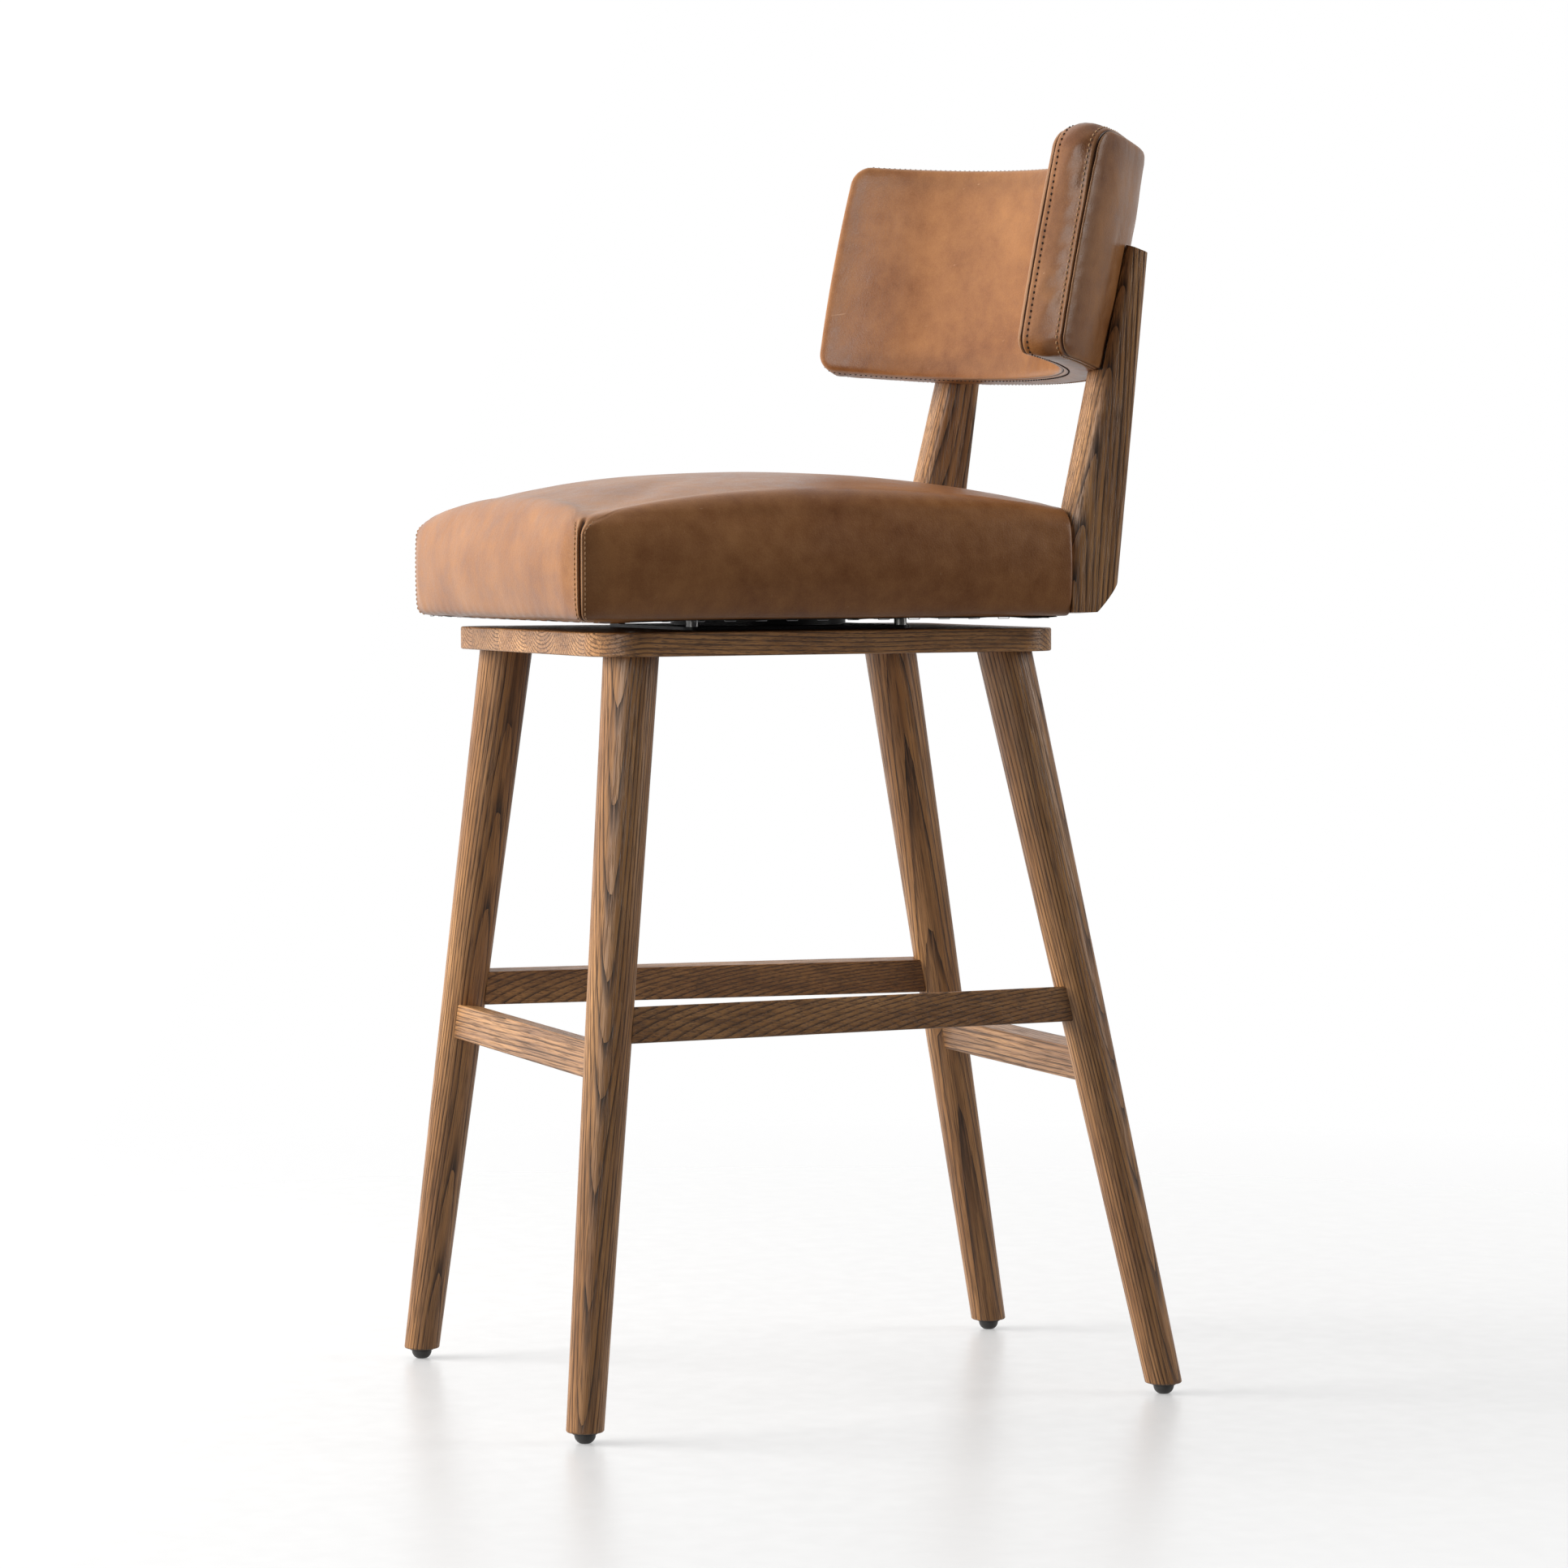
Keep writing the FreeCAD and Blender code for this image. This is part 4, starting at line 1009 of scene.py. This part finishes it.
def pad_held(points):
    """Where the pad's leather is fixed while the cloth simulation runs."""
    w, r, h = pad_local(points)
    straight = [PAD_HALF_W - PAD_CORNER_R, PAD_HALF_H - PAD_CORNER_R]
    q = np.maximum(np.abs(np.column_stack([w, h])) - straight, 0)
    inset = PAD_CORNER_R - np.hypot(q[:, 0], q[:, 1])
    near = [np.abs(r - seam_r) < 4 for seam_r in (269.5, 307.5)]
    seam = (inset < 7) & (near[0] | near[1])
    post = (r > 300) & (post_press(points) > 0.6)
    return np.where(seam | post, 1.0, 0.0)


def pad_give():
    """The whole pad as one plain closed form, put through the cloth simulation."""
    front = [(inset, PATTERN_FRONT_R) for inset in reversed(PATTERN_INSETS)]
    rear = [(inset, PATTERN_REAR_R) for inset in PATTERN_INSETS]
    return Give(pad_surface(front + PATTERN_EDGE + rear, PATTERN_STEP), 5.0, pad_held, 6.0)


def pad_panel(side, face, centre_r, back_r, give):
    """The front or rear panel with the foam behind it, as a closed form."""
    edge_r = face[-1][1]
    crown = [(d, edge_r + (centre_r - edge_r) * float(ease((d - 10) / 55))) for d in PANEL_INSETS]
    behind = [(d, back_r) for d in PANEL_BACK_INSETS]
    profile = behind + face + crown
    rings = pad_surface(profile)
    around = rings.shape[1]
    flat = rings.reshape(-1, 3)
    depth = np.repeat([d for d, _ in profile], around)
    shown = np.repeat([0.0] * len(behind) + [1.0] * (len(face) + len(crown)), around)
    loose = ease((depth - 2.5) / 12) * shown
    moved = flat + give.at(flat) * (loose * PAD_GIVE)[:, None]
    w, r, h = pad_local(moved)
    outward = 1.0 if centre_r > PAD_MID_R else -1.0
    uneven = 0.55 * ripple(flat, 0.02, 4.0) + 0.25 * ripple(flat, 0.06, 7.0)
    edge_pull = 0.35 * ripple(flat, 0.16, 2.0) * bell(depth - 6, 7) * shown
    r = r + outward * (uneven * loose + edge_pull)
    if outward > 0:
        press = post_press(moved)
        r = r - press * shown * np.maximum(r - (POST_FACE_R - 0.2), 0)
        r = r - 0.9 * bell(press - 0.5, 0.25) * loose
    points, faces = pad_world(w, r, h), ring_faces(len(rings), around)
    obj = mesh_piece(f"back_leather_{side}", points, faces, LEATHER)
    # painted shade in the seam groove, pale lips with a painted highlight, and darker in a band
    # about 12 mm in from the seam
    lips = [0.0] * len(behind) + PANEL_LIPS
    lips += [0.0] * (len(profile) - len(lips))
    set_wear_and_painted_light(obj, np.repeat(lips, around) - shown * 0.22 * bell(depth - 12, 9))
    weld(obj)
    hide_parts(f"back_cover_{side}", f"back_foam_{side}")


def pad_band(give):
    """The band round the pad's edge, with its two rows of stitches and its two seams, whose grooves
    hold dark cords of painted shade.
    """
    profile = BAND_FACE + BAND_BACK
    rings = pad_surface(profile)
    count, around = rings.shape[:2]
    flat = rings.reshape(-1, 3)
    shown = np.repeat([1.0] * len(BAND_FACE) + [0.0] * len(BAND_BACK), around)
    radius = np.repeat([r for _, r in profile], around)
    from_front, from_rear = radius - FRONT_SEAM_R - TOPSTITCH, radius - REAR_SEAM_R + TOPSTITCH
    between = ease(np.minimum(from_front, -from_rear) / 6) * shown
    moved = flat + give.at(flat) * (between * PAD_GIVE)[:, None]
    normals = unit(pad_ring(1.0) - pad_ring(2.0))
    way = np.tile(normals, (count, 1))
    w, r, h = pad_local(moved)
    lean = 0.8 * (r - PAD_MID_R)
    slanted = np.column_stack([w + lean, r * 0.35, h - lean])
    at_end = ease((np.abs(w) - 225) / 30)
    creases = 1.1 * ripple(slanted, 0.085, 5.0) * (0.35 + 0.65 * at_end)
    creases = creases + 0.45 * ripple(slanted, 0.21, 1.0) * (0.3 + 0.7 * at_end)
    bump_out = creases * (0.25 + 0.75 * between) * shown
    swell = np.sin(np.pi * np.clip((radius - FRONT_SEAM_R + 3) / 38, 0, 1))
    swell = swell * ease((w - 185) / 50) * ease((h - 20) / 60)
    bump_out = bump_out + PAD_END_CROWN * swell * shown
    moved = pad_world(w + way[:, 0] * bump_out, r, h + way[:, 1] * bump_out)
    faces = ring_faces(count, around, closed=True)
    obj = mesh_piece("back_leather_band", moved, faces, LEATHER)
    plain = [0.0] * (len(BAND_FACE) - 2 * len(BAND_LIPS))
    lips = np.repeat(BAND_LIPS + plain + BAND_LIPS[::-1] + [0.0] * len(BAND_BACK), around)
    line = np.minimum(np.abs(from_front), np.abs(from_rear))
    # a painted highlight beside each stitch row, painted shade on it, and painted shade darkening
    # the band's ends
    band_painted_shading = 0.20 * bell(line - 2.0, 1.0) - 0.20 * bell(line, 0.7) - 0.28 * at_end
    set_wear_and_painted_light(obj, lips + shown * band_painted_shading)
    weld(obj)
    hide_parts("back_cover_band")
    plan, outer = pad_ring(0), pad_ring(0) + normals * 3
    outward = pad_world(outer[:, 0], PAD_MID_R, outer[:, 1])
    outward = unit(outward - pad_world(plan[:, 0], PAD_MID_R, plan[:, 1]))
    grid = moved.reshape(count, around, 3)
    radii = [r for _, r in BAND_FACE]
    front_row, rear_row = (grid[radii.index(line_r)] for line_r in (FRONT_LINE_R, REAR_LINE_R))
    stitches("back_topstitch_front", front_row, outward, DARK_THREAD_AND_SEAM_SHADE,
             length=2.4, gap=2.6, radius=0.62, lift=0.10)
    stitches("back_topstitch_rear", rear_row, outward, THREAD_TAN,
             length=3.0, gap=1.7, radius=0.58, lift=0.20)
    # dark cords at the bottom of the two seams' grooves: painted shade
    plan = pad_ring(1.9)
    for tag, seam_r in (("front", FRONT_SEAM_R), ("rear", REAR_SEAM_R)):
        seam = pad_world(plan[:, 0], seam_r, plan[:, 1])
        seam_shade_cord(f"back_seam_shade_cord_{tag}", seam, 0.62, outward)


def back_pad():
    give = pad_give()
    pad_panel("front", FRONT_FACE, FRONT_CENTRE_R, FRONT_BACK_R, give)
    pad_panel("rear", REAR_FACE, REAR_CENTRE_R, REAR_BACK_R, give)
    pad_band(give)


# ---- studio
GLOW_FROM = (-0.80, -0.50, 0.33)
GLOW_SPAN = (-0.35, 0.85, 0.15, 1.20)
LIGHTS = {  # place, target, size, watts, colour, what doesn't see it
    "key": ((-1.1, -3.1, 1.7), (0, 0, 0.55), (2.2, 2.4), 162, (1.0, 0.985, 0.96), "glossy"),
    "rim": ((1.2, 3.1, 1.6), (0, 0, 0.6), (1.2, 2.2), 44, (1.0, 0.99, 0.97), None),
    "card": ((1.75, -2.35, 1.5), (-0.1, 0.1, 0.9), (1.2, 1.8), 45, (1.0, 0.98, 0.95), "diffuse"),
}
FLOOR_RADIUS, FLOOR_FADE = 5.0, (0.55, 1.9)
FLOOR_GREY, FLOOR_GLOW = 0.42, 0.33
CAMERA_AT = (3.88327, -1.50597, 0.70328)
CAMERA_TURN = (69.0277, 2.7768, -0.1867)  # azimuth, pitch and roll, degrees
CAMERA_SENSOR, CAMERA_LENS = 36.0, 114.18


def area_light(name, place_at, target, size, power, colour, unseen):
    data = bpy.data.lights.new(name, "AREA")
    data.shape, data.size, data.size_y = "RECTANGLE", size[0], size[1]
    data.energy, data.color = power, colour
    obj = new_object(name, data)
    obj.location = place_at
    obj.rotation_mode = "QUATERNION"
    obj.rotation_quaternion = (Vector(target) - Vector(place_at)).to_track_quat("-Z", "Y")
    if unseen:
        setattr(obj, "visible_" + unseen, False)


def studio():
    scene = bpy.context.scene
    scene.view_settings.view_transform = "Standard"
    scene.view_settings.look = "None"
    scene.world = bpy.data.worlds.new("studio")
    scene.world.use_nodes = True
    g = Graph(scene.world.node_tree, "Background")
    way = g.add("TexCoord").outputs["Generated"]
    facing = g.vector("DOT_PRODUCT", {0: way, 1: GLOW_FROM})["Value"]
    glow = g.span(facing, *GLOW_SPAN)
    seen = g.add("LightPath").outputs["Is Camera Ray"]
    g.set("Strength", g.calc("MAXIMUM", glow, seen))
    g.set("Color", (1, 1, 1, 1))
    for name, values in LIGHTS.items():
        area_light(name, *values)


def floor():
    bpy.ops.mesh.primitive_circle_add(vertices=128, radius=FLOOR_RADIUS, fill_type="NGON")
    obj = bpy.context.object
    obj.name = "floor"
    mat, g = new_finish("floor")
    spot = g.place()
    far = g.vector("LENGTH", {0: spot})["Value"]
    g.set("Base Color", (FLOOR_GREY, FLOOR_GREY, FLOOR_GREY, 1))
    g.set("Roughness", g.span(g.grain(spot, 40), 0.3, 0.7, 0.30, 0.36))
    g.set("Emission Color", (1, 1, 1, 1))
    g.set("Emission Strength", FLOOR_GLOW)
    clear = g.add("BsdfTransparent").outputs[0]
    shares = {0: g.span(far, *FLOOR_FADE), 1: g.shader.outputs[0], 2: clear}
    fade = g.add("MixShader", shares).outputs[0]
    g.put(g.tree.nodes["Material Output"].inputs["Surface"], fade)
    obj.data.materials.append(mat)
    obj.visible_diffuse = False


def camera():
    azimuth, pitch, roll = (radians(turn) for turn in CAMERA_TURN)
    level = Vector((-sin(azimuth), cos(azimuth), 0)) * cos(pitch)
    ahead = level - Vector((0, 0, sin(pitch)))
    right = Vector((cos(azimuth), sin(azimuth), 0))
    up = right.cross(ahead)
    x = right * cos(roll) + up * sin(roll)
    y = up * cos(roll) - right * sin(roll)
    data = bpy.data.cameras.new("camera")
    data.sensor_width, data.lens = CAMERA_SENSOR, CAMERA_LENS
    obj = new_object("camera", data)
    turn = Matrix((x, y, -ahead)).transposed().to_4x4()
    obj.matrix_world = Matrix.Translation(CAMERA_AT) @ turn
    bpy.context.scene.camera = obj


finish_wood()
finish_hardware()
camera()
seat_leather()
dust_cover()
staples()
back_pad()
floor()
studio()
